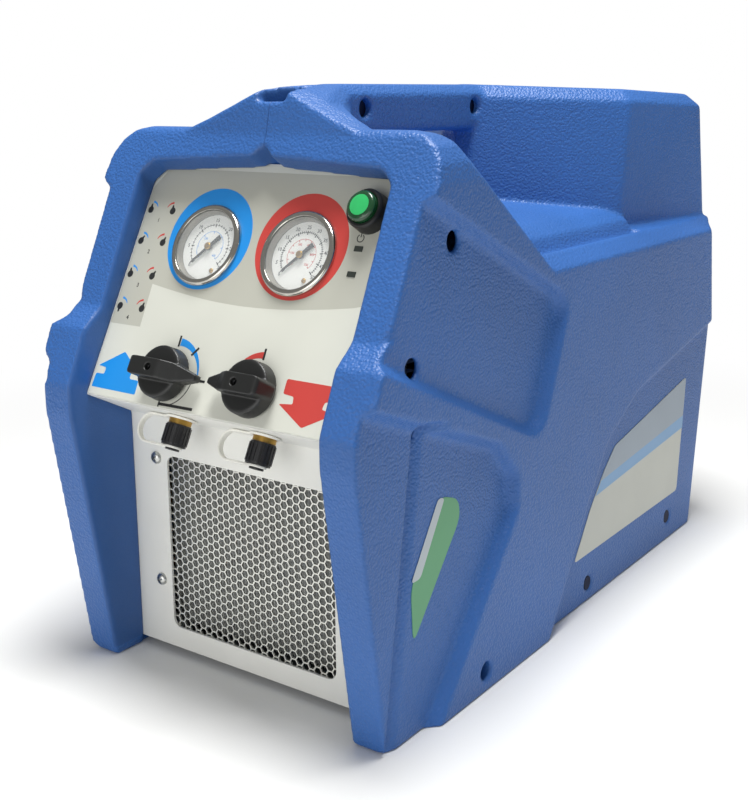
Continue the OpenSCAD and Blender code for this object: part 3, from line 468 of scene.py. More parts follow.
def moulded_polyethylene(name, base, grain, height):
    """Rotationally moulded polyethylene: a waxy half-gloss skin with a pebbled leather grain from the
    mould, glossier on the crowns of the pebbles, and pigment that clouds by a few per cent."""
    mat, tree, shader = material(name, base, 0.45, ior=1.51)
    here = add(tree, "ShaderNodeTexCoord").outputs["Object"]
    warp = add(tree, "ShaderNodeTexNoise", [(here, "Vector")], Scale=0.8 / grain, Detail=1.0)
    offset = add(tree, "ShaderNodeVectorMath", [(warp.outputs["Color"], 0)],
                 operation="SCALE", Scale=grain * 0.7)
    place = add(tree, "ShaderNodeVectorMath", [(here, 0), (offset.outputs["Vector"], 1)], operation="ADD")
    pebble = add(tree, "ShaderNodeTexVoronoi", [(place.outputs["Vector"], "Vector")],
                 feature="SMOOTH_F1", Scale=1.0 / grain, Smoothness=0.5)
    crown = add(tree, "ShaderNodeMath", [(pebble.outputs["Distance"], 1)],
                operation="SUBTRACT", Value=1.0)
    add(tree, "ShaderNodeBump", [(crown.outputs["Value"], "Height")],
        [("Normal", shader.inputs["Normal"])], Strength=1.0, Distance=height * MM)
    add(tree, "ShaderNodeMapRange", [(pebble.outputs["Distance"], "Value")],
        [("Result", shader.inputs["Roughness"])], To_Min=0.38, To_Max=0.55)
    cloud = add(tree, "ShaderNodeTexNoise", [(here, "Vector")], Scale=1 / (90 * MM), Detail=3.0)
    add(tree, "ShaderNodeValToRGB", [(cloud.outputs["Fac"], "Fac")],
        [("Color", shader.inputs["Base Color"])], ((0.3, scaled(base, 0.93)), (0.7, scaled(base, 1.07))))
    return mat


def powder_coat(name, base, rough=0.45):
    """Powder-coated folded steel: fine orange-peel, about a millimetre across."""
    mat, tree, shader = material(name, base, rough)
    here = add(tree, "ShaderNodeTexCoord").outputs["Object"]
    peel = add(tree, "ShaderNodeTexNoise", [(here, "Vector")], Scale=1 / (0.9 * MM), Detail=2.0)
    add(tree, "ShaderNodeBump", [(peel.outputs["Fac"], "Height")],
        [("Normal", shader.inputs["Normal"])], Strength=0.12, Distance=0.05 * MM)
    cloud = add(tree, "ShaderNodeTexNoise", [(here, "Vector")], Scale=1 / (60 * MM), Detail=2.0)
    add(tree, "ShaderNodeValToRGB", [(cloud.outputs["Fac"], "Fac")],
        [("Color", shader.inputs["Base Color"])], ((0.3, scaled(base, 0.965)), (0.7, scaled(base, 1.02))))
    return mat


def printed_film(name, base, rough=0.38):
    """Screen-printed polyester film: flat ink under a fine velvet texture, drawn at half a millimetre,
    coarser than the real one, so that it shows."""
    mat, tree, shader = material(name, base, rough)
    here = add(tree, "ShaderNodeTexCoord").outputs["Object"]
    velvet = add(tree, "ShaderNodeTexNoise", [(here, "Vector")], Scale=1 / (0.5 * MM), Detail=1.0)
    add(tree, "ShaderNodeBump", [(velvet.outputs["Fac"], "Height")],
        [("Normal", shader.inputs["Normal"])], Strength=0.08, Distance=0.02 * MM)
    cloud = add(tree, "ShaderNodeTexNoise", [(here, "Vector")], Scale=1 / (40 * MM))
    add(tree, "ShaderNodeValToRGB", [(cloud.outputs["Fac"], "Fac")],
        [("Color", shader.inputs["Base Color"])], ((0.3, scaled(base, 0.97)), (0.7, scaled(base, 1.02))))
    return mat


def moulded_plastic(name, base, rough=0.45, grain=0.5):
    """Injection-moulded plastic: a fine spark-eroded texture with a soft sheen. Its grain, in millimetres,
    is drawn coarser than the real one, so that it shows."""
    mat, tree, shader = material(name, base, rough, ior=1.54)
    here = add(tree, "ShaderNodeTexCoord").outputs["Object"]
    spark = add(tree, "ShaderNodeTexNoise", [(here, "Vector")], Scale=1 / (grain * MM), Detail=3.0)
    add(tree, "ShaderNodeBump", [(spark.outputs["Fac"], "Height")],
        [("Normal", shader.inputs["Normal"])], Strength=0.2, Distance=0.04 * MM)
    add(tree, "ShaderNodeValToRGB", [(spark.outputs["Fac"], "Fac")],
        [("Color", shader.inputs["Base Color"])], ((0.3, scaled(base, 0.88)), (0.7, scaled(base, 1.12))))
    return mat


def drawn_metal(name, base, rough, streak=0.35, along=(1.0, 1.0, 12.0)):
    """Plated or rolled metal: faint draw lines that break up the reflection, drawn coarser than the real
    ones, so that they show."""
    mat, tree, shader = material(name, base, rough, metal=1.0)
    here = add(tree, "ShaderNodeTexCoord").outputs["Object"]
    lines = add(tree, "ShaderNodeMapping", [(here, "Vector")], Scale=along)
    noise = add(tree, "ShaderNodeTexNoise", [(lines.outputs["Vector"], "Vector")],
                Scale=1 / (streak * MM * 4), Detail=3.0)
    add(tree, "ShaderNodeValToRGB", [(noise.outputs["Fac"], "Fac")],
        [("Color", shader.inputs["Base Color"])], ((0.3, scaled(base, 0.9)), (0.7, scaled(base, 1.05))))
    add(tree, "ShaderNodeMapRange", [(noise.outputs["Fac"], "Value")],
        [("Result", shader.inputs["Roughness"])], To_Min=rough * 0.75, To_Max=rough * 1.3)
    return mat


def clear_glass(name):
    """Flat gauge glass: clear, with the soft reflection of polished faces and a faint smear."""
    mat, tree, shader = material(name, srgb("#eef4f6"), 0.04, ior=1.52, alpha=0.12)
    shader.inputs["Specular IOR Level"].default_value = 0.9
    here = add(tree, "ShaderNodeTexCoord").outputs["Object"]
    smear = add(tree, "ShaderNodeTexNoise", [(here, "Vector")], Scale=1 / (20 * MM))
    add(tree, "ShaderNodeMapRange", [(smear.outputs["Fac"], "Value")],
        [("Result", shader.inputs["Roughness"])], To_Min=0.03, To_Max=0.09)
    return mat


def lit_lens(name, base):
    """Tinted polycarbonate lens: clear gloss over an even moulded colour that lets some light through."""
    mat, tree, shader = material(name, base, 0.22, ior=1.58)
    shader.inputs["Coat Weight"].default_value = 0.4
    shader.inputs["Coat Roughness"].default_value = 0.08
    shader.inputs["Emission Color"].default_value = base
    shader.inputs["Emission Strength"].default_value = 0.15
    here = add(tree, "ShaderNodeTexCoord").outputs["Object"]
    cloud = add(tree, "ShaderNodeTexNoise", [(here, "Vector")], Scale=1 / (6 * MM))
    add(tree, "ShaderNodeValToRGB", [(cloud.outputs["Fac"], "Fac")],
        [("Color", shader.inputs["Base Color"])], ((0.3, scaled(base, 0.94)), (0.7, scaled(base, 1.06))))
    return mat


FINISH = {}


def make_finishes():
    """Every finish of the machine, made once."""
    scene = bpy.context.scene
    shell, panel, control = scene.machine_shell, scene.machine_panel, scene.machine_control
    FINISH.update(
        shell=moulded_polyethylene("blue_moulded_polyethylene", list(shell.blue), shell.grain, 0.5),
        # Inner rim: a finer grain, and the shell blue darkened to 0.8 as painted shade of the bay and the
        # lintel
        rim=moulded_polyethylene("blue_polyethylene_smooth_rim_painted_shade", scaled(shell.blue, 0.8),
                                 shell.grain * 0.7, 0.1),
        steel=powder_coat("pale_powder_coated_steel", list(panel.steel)),
        film=printed_film("pale_printed_polyester_film", list(panel.film)),
        grey=printed_film("grey_printed_polyester_film", list(panel.grey)),
        blue=printed_film("blue_screen_ink", list(panel.blue)),
        red=printed_film("red_screen_ink", list(panel.red)),
        ink=printed_film("black_screen_ink", srgb("#2b2c2c")),
        mesh=drawn_metal("zinc_plated_perforated_steel", srgb("#d8d8d2"), 0.42),
        screw=drawn_metal("nickel_plated_steel_screw", srgb("#c5c6c3"), 0.28),
        # Housing screws: dark, tinted blue-grey as painted shade of the deep holes they sit in
        dark_screw=drawn_metal("dark_screw_painted_shade", srgb("#131c38"), 0.5),
        bezel=drawn_metal("polished_stainless_steel", srgb("#c9c6bd"), 0.16, 0.5),
        dial=printed_film("white_enamelled_dial", srgb("#f1f1ec"), 0.5),
        case=moulded_plastic("black_gauge_case_abs", srgb("#202124"), 0.5),
        needle=moulded_plastic("black_painted_needle", srgb("#18181a"), 0.4),
        cone=drawn_metal("satin_steel_gauge_cone", srgb("#9a958a"), 0.34, 0.5),
        glass=clear_glass("gauge_glass"),
        black=moulded_plastic("black_moulded_nylon", list(control.black), 0.4),
        cap=moulded_plastic("black_cap_nylon", srgb("#1d1d1f"), 0.38),
        switch=moulded_plastic("black_switch_polycarbonate", srgb("#0f1011"), 0.4),
        lens=lit_lens("green_polycarbonate_lens", list(control.green)),
        # The button's flank: the lens green darkened to 0.12 as painted shade of the switch housing
        lens_rim=lit_lens("green_lens_flank_painted_shade", scaled(control.green, 0.12)),
        led=lit_lens("dark_light_window", srgb("#2c322c")),
        brass=drawn_metal("turned_brass", srgb("#b8924a"), 0.3, 0.3),
        tether=moulded_plastic("natural_polyethylene_strap", list(control.tether), 0.5),
        # Fins: pale aluminium, made lighter still as painted light so that they show in the shade behind
        # the perforated sheet
        aluminium=powder_coat("pale_aluminium_fin_painted_light", srgb("#dfe1df"), 0.6),
        copper=drawn_metal("drawn_copper_tube", srgb("#b3714a"), 0.35),
        cast=powder_coat("painted_cast_aluminium", srgb("#8b9095"), 0.55),
        motor=powder_coat("black_enamelled_motor", srgb("#33363a"), 0.5),
        zinc=drawn_metal("zinc_plated_sheet", srgb("#b5b8ba"), 0.4),
        shaft=drawn_metal("ground_steel_shaft", srgb("#b4b7ba"), 0.22),
        rubber=moulded_plastic("black_rubber_mount", srgb("#1b1b1c"), 0.8, 0.8),
        fan=moulded_plastic("grey_polypropylene_fan", srgb("#3a3d41"), 0.5),
        green_label=printed_film("green_label_vinyl", srgb("#5aa070"), 0.42),
        pale_label=printed_film("pale_label_vinyl", srgb("#b9c3c8"), 0.42),
        slate_label=printed_film("slate_label_vinyl", srgb("#99a6b2"), 0.42),
        sand_label=printed_film("sand_label_vinyl", srgb("#c2c4bb"), 0.42),
        sky_label=printed_film("sky_label_vinyl", srgb("#7ba6cf"), 0.42),
    )


def paint(names, finish):
    """Gives CAD nodes a finish."""
    for name in names:
        mesh = NODES[name].data
        mesh.materials.clear()
        mesh.materials.append(FINISH[finish])


def ride_machine(obj):
    """Fixes a piece to the machine's own body."""
    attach(obj, "machine")


class Dresser:
    """Shared by the operators: each one ends finished or raises."""
    bl_options = {"REGISTER", "UNDO"}


class MACHINE_OT_shell(Dresser, bpy.types.Operator):
    """Softens both moulded housing halves and gives their screws a dark finish"""
    bl_idname = "machine.shell"
    bl_label = "Moulded shell"

    def execute(self, context):
        shell = context.scene.machine_shell
        right = softened("housing_right", FINISH["shell"], shell.voxel, shell.softness, thin=0.3, half=True)
        mesh = right.data
        mesh.materials.append(FINISH["rim"])
        # The faces that look into the front bay, and the underside of the lintel over it, have a finer
        # grain and a blue darkened as painted shade
        bay_x, bay_y, bay_z = 98.5, -140, 6
        lintel_x, lintel_y, lintel_low, lintel_high = 97, -150, 296, 327
        inward = -0.35
        for poly in mesh.polygons:
            c, n = poly.center / MM, poly.normal
            bay = c.x < bay_x and c.y < bay_y and c.z > bay_z and n.x < inward
            lintel = c.x < lintel_x and c.y < lintel_y and lintel_low < c.z < lintel_high and n.z < inward
            if bay or lintel:
                poly.material_index = 1
        left_mesh = mesh.copy()
        left_mesh.transform(Matrix.Scale(-1, 4, (1, 0, 0)))
        left_mesh.flip_normals()
        left = new_object("housing_left_finish", left_mesh)
        for obj, node in ((right, "housing_right"), (left, "housing_left")):
            ride_machine(obj)
            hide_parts(node)
        # The housing screws' dark blue-grey is partly their own dark and partly painted shade of their
        # holes
        paint(["housing_screws"], "dark_screw")
        return {"FINISHED"}


class MACHINE_OT_labels(Dresser, bpy.types.Operator):
    """Lays the plain coloured vinyl labels in the side pockets"""
    bl_idname = "machine.labels"
    bl_label = "Side labels"

    def execute(self, context):
        # Outlines are in millimetres from the front foot and up from the floor
        low, high, over = 0.02, 0.25, 0.35
        leaf = [(24, 89), (53, 133.5), (72, 127), (74, 115), (26, 56)]
        strip = [(24, 92), (51, 133), (57.5, 131.5), (33, 92)]
        plate = [(416, 129), (406, 37), (223, 36), (246, 68), (267, 91), (284, 105)]
        header = [(416, 128.6), (413, 98), (262, 84.5), (267, 91), (284, 105)]
        stripe = [(413, 98), (412, 88), (254, 75.5), (262, 84.5)]
        fields = (("side_label_green", rounded(leaf, 7), low, high, "green_label"),
                  ("side_label_strip", rounded(strip, 3), high, over, "pale_label"),
                  ("side_plate_base", rounded(plate, 4), low, high, "sand_label"),
                  ("side_plate_band", rounded(header, 3), high, over, "slate_label"),
                  ("side_plate_stripe", stripe, high, over, "sky_label"))
        for name, outline, bottom, top, finish in fields:
            bm = bmesh.new()
            slab(bm, outline, on_side, bottom, top)
            ride_machine(from_bmesh(name, bm, FINISH[finish]))
        return {"FINISHED"}


class MACHINE_OT_panel(Dresser, bpy.types.Operator):
    """Finishes the folded steel front panel, its film and the tray"""
    bl_idname = "machine.panel"
    bl_label = "Front panel"

    def execute(self, context):
        eased("front_panel", FINISH["steel"], "machine", 0.6)
        eased("panel_overlay", FINISH["film"], "machine", 0.08)
        eased("chassis_base", FINISH["zinc"], "machine", 0.4)
        return {"FINISHED"}


class MACHINE_OT_print(Dresser, bpy.types.Operator):
    """Prints the zones, rings, arrows, valve scales and pictograms on the film"""
    bl_idname = "machine.print"
    bl_label = "Panel print"

    def execute(self, context):
        low, high = FILM_TOP + 0.01, FILM_TOP + 0.05
        inks = {key: bmesh.new() for key in ("blue", "red", "ink")}
        # Grey upper zone with its curved lower border, and the column beside the pictograms
        edge, shoulder, top_edge, top = 94.2, 30, 85, 43.5
        column, foot, right_foot = -68.5, -59, -28.5
        border_start, border_length, border_level, sag = -69.3, 151.2, -29.5, 9.0
        border = []
        for i in range(25):
            t = i / 24
            dip = sag * math.sin(math.pi * (0.08 + 0.84 * t))
            border.append((border_start + border_length * t, border_level - dip))
        zone = [(-edge, shoulder), (-edge, foot), (column, foot)] + border
        zone += [(edge, right_foot), (edge, shoulder), (top_edge, top), (-top_edge, top)]
        openings = [circle(*SWITCH, 11.5, 48)]
        openings += [circle(side * GAUGE_X, GAUGE_V, 23.5, 72) for side in (-1, 1)]
        grey = printed_area([zone] + openings, face_matrix(0, 0, FILM_TOP + 0.012), FINISH["grey"],
                            "print_grey")
        # Gauge rings, thicker above the gauge than below
        for side, key in ((-1, "blue"), (1, "red")):
            slab(inks[key], circle(side * GAUGE_X, 0, 32, 72), on_face, low, high,
                 circle(side * GAUGE_X, GAUGE_V, 24.6, 72))
        # Flow arrows
        up = [(-73.8, -75.5), (-58.9, -86.1), (-63.6, -87.0), (-63.6, -91.2), (-56.0, -91.3),
              (-55.5, -99.8), (-92.9, -99.6), (-92.4, -91.0), (-85.6, -91.0), (-85.6, -86.8),
              (-92.3, -86.2)]
        slab(inks["blue"], rounded(up, 1.2, 4), on_face, low, high)
        down = [(52.2, -75.2), (52.2, -83.6), (59.7, -84.2), (60.5, -88.4), (51.1, -89.4), (70.4, -100.0),
                (89.7, -89.4), (80.3, -88.4), (81.1, -84.2), (88.6, -83.6), (88.6, -75.2)]
        slab(inks["red"], rounded(down, 1.2, 4), on_face, low, high)
        # Valve scales: a tapering band, and marks at their angle from an inner to an outer radius
        left, right = (-VALVE_X, VALVE_V), (VALVE_X, VALVE_V)
        band(inks["blue"], left, on_face, low, high, 88, -86, (18.4, 20.6), (23.0, 21.2))
        band(inks["red"], right, on_face, low, high, 94, 66, (18.6, 20.4), (22.4, 21.0))
        marks = ((left, 91, 17.8, 24.4), (left, 50, 18.0, 24.6), (left, 0, 21.0, 27.6),
                 (right, 92, 17.8, 24.4))
        for centre, angle, inner, outer in marks:
            stroke(inks["ink"], polar(centre, inner, angle), polar(centre, outer, angle), 1.4,
                   on_face, high, high + 0.03)
        # Thin arc, foot line and end tick of the left scale
        band(inks["ink"], left, on_face, low, high, -8, -84, (17.4, 17.4), (18.0, 18.0))
        stroke(inks["ink"], (-34.7, -102.1), (-8.2, -101.8), 1.7, on_face, low, high)
        stroke(inks["ink"], (-34.7, -99.8), (-34.7, -103.9), 1.1, on_face, low, high)
        # Valve pictograms in four rows: height, then the lean of the blue and of the red pointer
        rows = ((15.5, 90, 100), (-5.2, 60, 70), (-27.0, 100, 60), (-47.8, -95, 80))
        sides = (("blue", -90.6, 84, -62), ("red", -71.8, 96, 62))
        for v, *leans in rows:
            for (key, u, start, sweep), lean in zip(sides, leans):
                hub = (u, v)
                tip = polar(hub, 3.9, lean)
                pointer = [polar(hub, 1.3, lean + 90), polar(hub, 1.3, lean - 90),
                           polar(tip, 0.5, lean - 90), polar(tip, 0.5, lean + 90)]
                slab(inks["ink"], circle(u, v, 2.3, 20), on_face, low, high)
                slab(inks["ink"], pointer, on_face, high, high + 0.02)
                band(inks[key], hub, on_face, low, high, start, sweep, (4.6, 5.4), (6.0, 5.9), 12)
        # Standby symbol under the switch
        u, v = 73.9, 7.7
        band(inks["ink"], (u, v), on_face, low, high, 122, 296, (1.9, 1.9), (2.5, 2.5), 24)
        stroke(inks["ink"], (u, v + 0.5), (u, v + 3.4), 0.65, on_face, low, high)
        # Row numbers between the pictograms
        number_u, number_drop = -81.2, 6.6
        figures = []
        for i, row in enumerate(rows):
            spot = face_matrix(number_u, row[0] - number_drop, FILM_TOP + 0.03)
            figures.append(writing(str(i + 1), 2.6, spot, FINISH["ink"], f"row_number_{i + 1}"))
        for key, bm in inks.items():
            ride_machine(from_bmesh("print_" + key, bm, FINISH[key]))
        ride_machine(grey)
        ride_machine(joined("print_row_numbers", figures))
        return {"FINISHED"}


class MACHINE_OT_mesh(Dresser, bpy.types.Operator):
    """Punches the perforated sheet at its real pitch and stands the close fins behind it"""
    bl_idname = "machine.mesh"
    bl_label = "Perforated sheet and fins"

    def execute(self, context):
        panel = context.scene.machine_panel
        pitch, hole = panel.pitch / MM, panel.hole / MM
        # Hexagons share corners, so each corner is made once
        half_width, middle, bottom, top = 71, 76, 13.5, 138.5
        front, back = -1.7, -2.7
        flat = math.cos(math.radians(30))
        step = pitch * flat
        bm = bmesh.new()
        made = {}

        def vert(x, z, n):
            key = (round(x, 2), round(z, 2), n)
            if key not in made:
                made[key] = bm.verts.new(on_low(x, z, n))
            return made[key]

        columns, rows = int(half_width / step), int((top - bottom) / pitch / 2) + 1
        for i in range(-columns, columns + 1):
            for j in range(-rows, rows):
                x = i * step
                z = middle + (j + (0.5 if i % 2 else 0)) * pitch
                if z < bottom or z > top:
                    continue
                outer = circle(x, z, pitch / 2 / flat, 6)
                inner = circle(x, z, hole / 2 / flat, 6)
                for k in range(6):
                    m = (k + 1) % 6
                    for n in (front, back):
                        bm.faces.new([vert(*p, n) for p in (outer[k], outer[m], inner[m], inner[k])])
                    bm.faces.new((vert(*inner[k], front), vert(*inner[m], front),
                                  vert(*inner[m], back), vert(*inner[k], back)))
        level = on_low(0, 0, front).y
        rim = [e for e in bm.edges if len(e.link_faces) == 1 and abs(e.verts[0].co.y - level) < 1e-6]
        for e in rim:
            a, b = e.verts
            keys = [(round(v.co.x / MM, 2), round(v.co.z / MM, 2), back) for v in (a, b)]
            bm.faces.new((a, b, made[keys[1]], made[keys[0]]))
        sheet = from_bmesh("perforated_sheet", bm, FINISH["mesh"])
        ride_machine(sheet)
        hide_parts("front_mesh")
        # Close aluminium fins with a slightly ruffled front edge
        count, rows, end_plate = 66, 13, 1.6
        half_thick, ruffle, sway = 0.09, 0.35, 0.22
        bm = bmesh.new()
        lo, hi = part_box("condenser_fins")
        lo, hi = lo / MM, hi / MM
        for i in range(count):
            x = lo.x + 1.0 + (hi.x - lo.x - 2.0) * i / (count - 1)
            levels = []
            for k in range(rows):
                z = lo.z + 8 + (hi.z - lo.z - 12) * k / (rows - 1)
                edge = lo.y + ruffle * math.sin(2.1 * k + 1.7 * i)
                side = x + sway * math.sin(1.3 * k + 0.9 * i)
                corners = ((side - half_thick, edge), (side + half_thick, edge),
                           (side + half_thick, hi.y), (side - half_thick, hi.y))
                levels.append([bm.verts.new(in_frame(a, z, b)) for a, b in corners])
            for a, b in zip(levels, levels[1:]):
                for k in range(4):
                    bm.faces.new((a[k], a[(k + 1) % 4], b[(k + 1) % 4], b[k]))
            bm.faces.new(levels[0])
            bm.faces.new(levels[-1])
        for x in (lo.x, hi.x - end_plate):
            outline = [(x, lo.z), (x, hi.z), (x + end_plate, hi.z), (x + end_plate, lo.z)]
            slab(bm, outline, in_frame, lo.y, hi.y)
        fins = from_bmesh("condenser_fin_pack", bm, FINISH["aluminium"])
        ride_machine(fins)
        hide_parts("condenser_fins")
        paint(["condenser_tubes"], "copper")
        return {"FINISHED"}


class MACHINE_OT_panel_screws(Dresser, bpy.types.Operator):
    """Turns the pan-head panel screws and cuts their cross recesses"""
    bl_idname = "machine.panel_screws"
    bl_label = "Panel screws"

    def execute(self, context):
        # Shank and pan head as radius and height, one blade of the cross, and how far each screw was turned
        profile = [(0, -7.5), (1.9, -7.5), (1.9, 0.02), (4.0, 0.02), (4.0, 0.5), (3.8, 1.15), (3.2, 1.85),
                   (2.2, 2.4), (1.0, 2.66), (0, 2.7)]
        blade = [(-2.3, -0.42), (2.3, -0.42), (2.3, 0.42), (-2.3, 0.42)]
        turns = (21, 58, 36, 75)
        places = [(side * SCREW_X, z) for z in (SCREW_LOW, SCREW_HIGH) for side in (-1, 1)]
        heads, cutters = bmesh.new(), bmesh.new()
        for (x, z), turn in zip(places, turns):
            spot = low_matrix(x, z, 0, turn)
            lathe(heads, profile, spot, 32)
            # The second blade is set off a little, so that no two faces of the tool share a plane
            for second in (0, 1):
                across = spot @ Matrix.Rotation(math.pi / 2 * second, 4, "Z")
                slab(cutters, blade, placed(across), 0.9 + 0.013 * second, 3.4 + 0.1 * second)
        obj = from_bmesh("panel_screw_heads", heads, FINISH["screw"], 30)
        tool = from_bmesh("cross_recess_tool", cutters, FINISH["dark_screw"])
        cut = obj.modifiers.new("cross recess", "BOOLEAN")
        cut.operation, cut.object, cut.solver, cut.use_self = "DIFFERENCE", tool, "EXACT", True
        evaluated(obj, FINISH["screw"])
        bpy.data.objects.remove(tool)
        ride_machine(obj)
        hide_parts("panel_screws")
        return {"FINISHED"}


class MACHINE_OT_gauges(Dresser, bpy.types.Operator):
    """Polishes the gauge bezels and cones and prints plain number scales on the sunk dials"""
    bl_idname = "machine.gauges"
    bl_label = "Pressure gauges"

    def execute(self, context):
        # Heights are from the film, radii from the gauge's axis
        dial_z, opening = -2.5, 22
        low, high, figure_z = -2.48, -2.44, -2.45
        start, sweep = 225, -270
        middle = (0, 0)
        gauges = (("suction", -1, "blue", 30, 7), ("discharge", 1, "red", 50, 11))
        for name, side, tint_key, top, majors in gauges:
            axis = face_matrix(side * GAUGE_X, GAUGE_V, FILM_TOP)
            place = placed(axis)
            eased("gauge_bezel_" + name, FINISH["bezel"], "machine", 0.3)
            case = eased("gauge_case_" + name, FINISH["case"], "machine", 0.2)
            # In front of the dial the case is a bright cone
            case.data.materials.append(FINISH["cone"])
            for poly in case.data.polygons:
                c = axis.inverted() @ poly.center / MM
                if c.z > dial_z and c.xy.length < opening:
                    poly.material_index = 1
            paint(["gauge_dial_" + name], "dial")
            paint(["gauge_lens_" + name], "glass")
            eased("gauge_needle_" + name, FINISH["needle"], name + "_needle", 0.12)
            # Outer scale in black and inner scale in the side's colour, just above the dial
            ink, tint = bmesh.new(), bmesh.new()
            band(ink, middle, place, low, high, start, sweep, (13.9, 13.9), (14.2, 14.2), 60)
            band(tint, middle, place, low, high, start, sweep, (9.8, 9.8), (10.1, 10.1), 60)
            steps = (majors - 1) * 5
            for i in range(steps + 1):
                angle = start + sweep * i / steps
                inner, width = (12.6, 0.7) if i % 5 == 0 else (13.4, 0.42)
                stroke(ink, polar(middle, inner, angle), polar(middle, 14.9, angle), width,
                       place, low, high)
                if i % 5 == 0:
                    stroke(tint, polar(middle, 10.0, angle), polar(middle, 8.7, angle), 0.4,
                           place, low, high)
            # A number at each long mark, and an inner one at every second
            figures = []
            for i in range(majors):
                numbers = [("scale", "ink", 17.0, 2.2, top * i // (majors - 1))]
                if i % 2 == 0:
                    numbers.append(("inner", tint_key, 7.2, 1.4, 15 * top * i // (majors - 1)))
                for kind, key, radius, size, value in numbers:
                    point = polar(middle, radius, start + sweep * i / (majors - 1))
                    spot = axis @ Matrix.Translation(Vector((*point, figure_z)) * MM)
                    figures.append(writing(str(value), size, spot, FINISH[key], f"{kind}_{name}_{i}"))
            # Brass pin at the dial's lower edge
            pin = bmesh.new()
            pin_profile = [(0, -2.5), (1.4, -2.5), (1.4, -1.9), (1.0, -1.6), (0, -1.6)]
            lathe(pin, pin_profile, axis @ Matrix.Translation(Vector((6.8, -14.4, 0)) * MM), 20)
            printed = [from_bmesh("scale_ink_" + name, ink, FINISH["ink"]),
                       from_bmesh("scale_tint_" + name, tint, FINISH[tint_key]),
                       from_bmesh("scale_pin_" + name, pin, FINISH["brass"], 30)]
            ride_machine(joined("scale_" + name, printed + figures))
            # Turned hub cap over the needle
            bm = bmesh.new()
            hub_profile = [(0, -0.65), (2.2, -0.65), (2.2, 0.1), (1.8, 0.5), (0.8, 0.6), (0, 0.6)]
            lathe(bm, hub_profile, axis, 32)
            hub = from_bmesh("needle_hub_" + name, bm, FINISH["brass"], 30)
            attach(hub, name + "_needle")
        return {"FINISHED"}


class MACHINE_OT_knobs(Dresser, bpy.types.Operator):
    """Rounds the moulded valve knobs"""
    bl_idname = "machine.knobs"
    bl_label = "Valve knobs"

    def execute(self, context):
        cell, passes = 0.45 * MM, 12
        for name in ("inlet", "outlet"):
            knob = softened("knob_" + name, FINISH["black"], cell, passes)
            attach(knob, name + "_knob")
            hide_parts("knob_" + name)
        paint(["valve_stem_inlet", "valve_stem_outlet"], "shaft")
        paint(["valve_body_inlet", "valve_body_outlet"], "brass")
        return {"FINISHED"}


class MACHINE_OT_ports(Dresser, bpy.types.Operator):
    """Finishes the flare fittings, ribbed caps and their straps"""
    bl_idname = "machine.ports"
    bl_label = "Ports and caps"

    def execute(self, context):
        for name in ("inlet", "outlet"):
            eased("fitting_" + name, FINISH["brass"], "machine", 0.2)
            eased("cap_" + name, FINISH["cap"], name + "_cap", 0.22)
            eased("tether_" + name, FINISH["tether"], name + "_cap", 0.4)
        return {"FINISHED"}


class MACHINE_OT_switch(Dresser, bpy.types.Operator):
    """Finishes the lit power button and the indicator windows"""
    bl_idname = "machine.switch"
    bl_label = "Power switch"

    def execute(self, context):
        eased("switch_housing", FINISH["switch"], "machine", 0.3)
        button = eased("switch_button", FINISH["lens"], "power_button", 0.3, 12)
        # Only the crown is bright: the flank that goes down into the housing is darkened as painted shade
        # of the housing
        crown = 6.0
        button.data.materials.append(FINISH["lens_rim"])
        axis = face_matrix(*SWITCH).inverted()
        for poly in button.data.polygons:
            if (axis @ poly.center / MM).xy.length > crown:
                poly.material_index = 1
        eased("indicator_lights", FINISH["led"], "machine", 0.2)
        return {"FINISHED"}


class MACHINE_OT_drive(Dresser, bpy.types.Operator):
    """Finishes the motor, compressor and fan inside"""
    bl_idname = "machine.drive"
    bl_label = "Drive"

    def execute(self, context):
        paint(["motor"], "motor")
        paint(["crankcase", "cylinder_head"], "cast")
        paint(["drive_mounts"], "rubber")
        paint(["run_capacitor"], "zinc")
        paint(["fan_shroud", "fan_rotor"], "fan")
        paint(["drive_shaft"], "shaft")
        return {"FINISHED"}


class MACHINE_OT_rear(Dresser, bpy.types.Operator):
    """Finishes the vented rear panel, the mains inlet with its pins, and the breaker"""
    bl_idname = "machine.rear"
    bl_label = "Rear panel"

    def execute(self, context):
        eased("rear_panel", FINISH["zinc"], "machine", 0.3)
        eased("power_inlet", FINISH["black"], "machine", 0.4)
        eased("breaker_body", FINISH["black"], "machine", 0.4)
        eased("breaker_button", FINISH["red"], "reset_button", 0.5)
        lo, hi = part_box("power_inlet")
        mid, rear = (lo + hi) / 2 / MM, hi.y / MM
        # Two flat pins above the earth pin, standing in the inlet's opening
        opening_z, root, tip = 34, 17.0, 2.5
        section = rounded([(-1, -2), (1, -2), (1, 2), (-1, 2)], 0.5, 3)
        bm = bmesh.new()
        for x, z in ((-7, 0.8), (7, 0.8), (0, -3.2)):
            outline = [(mid.x + x + a, opening_z + z + b) for a, b in section]
            slab(bm, outline, in_frame, rear - root, rear - tip)
        pins = from_bmesh("mains_pins", bm, FINISH["screw"], 30)
        ride_machine(pins)
        return {"FINISHED"}


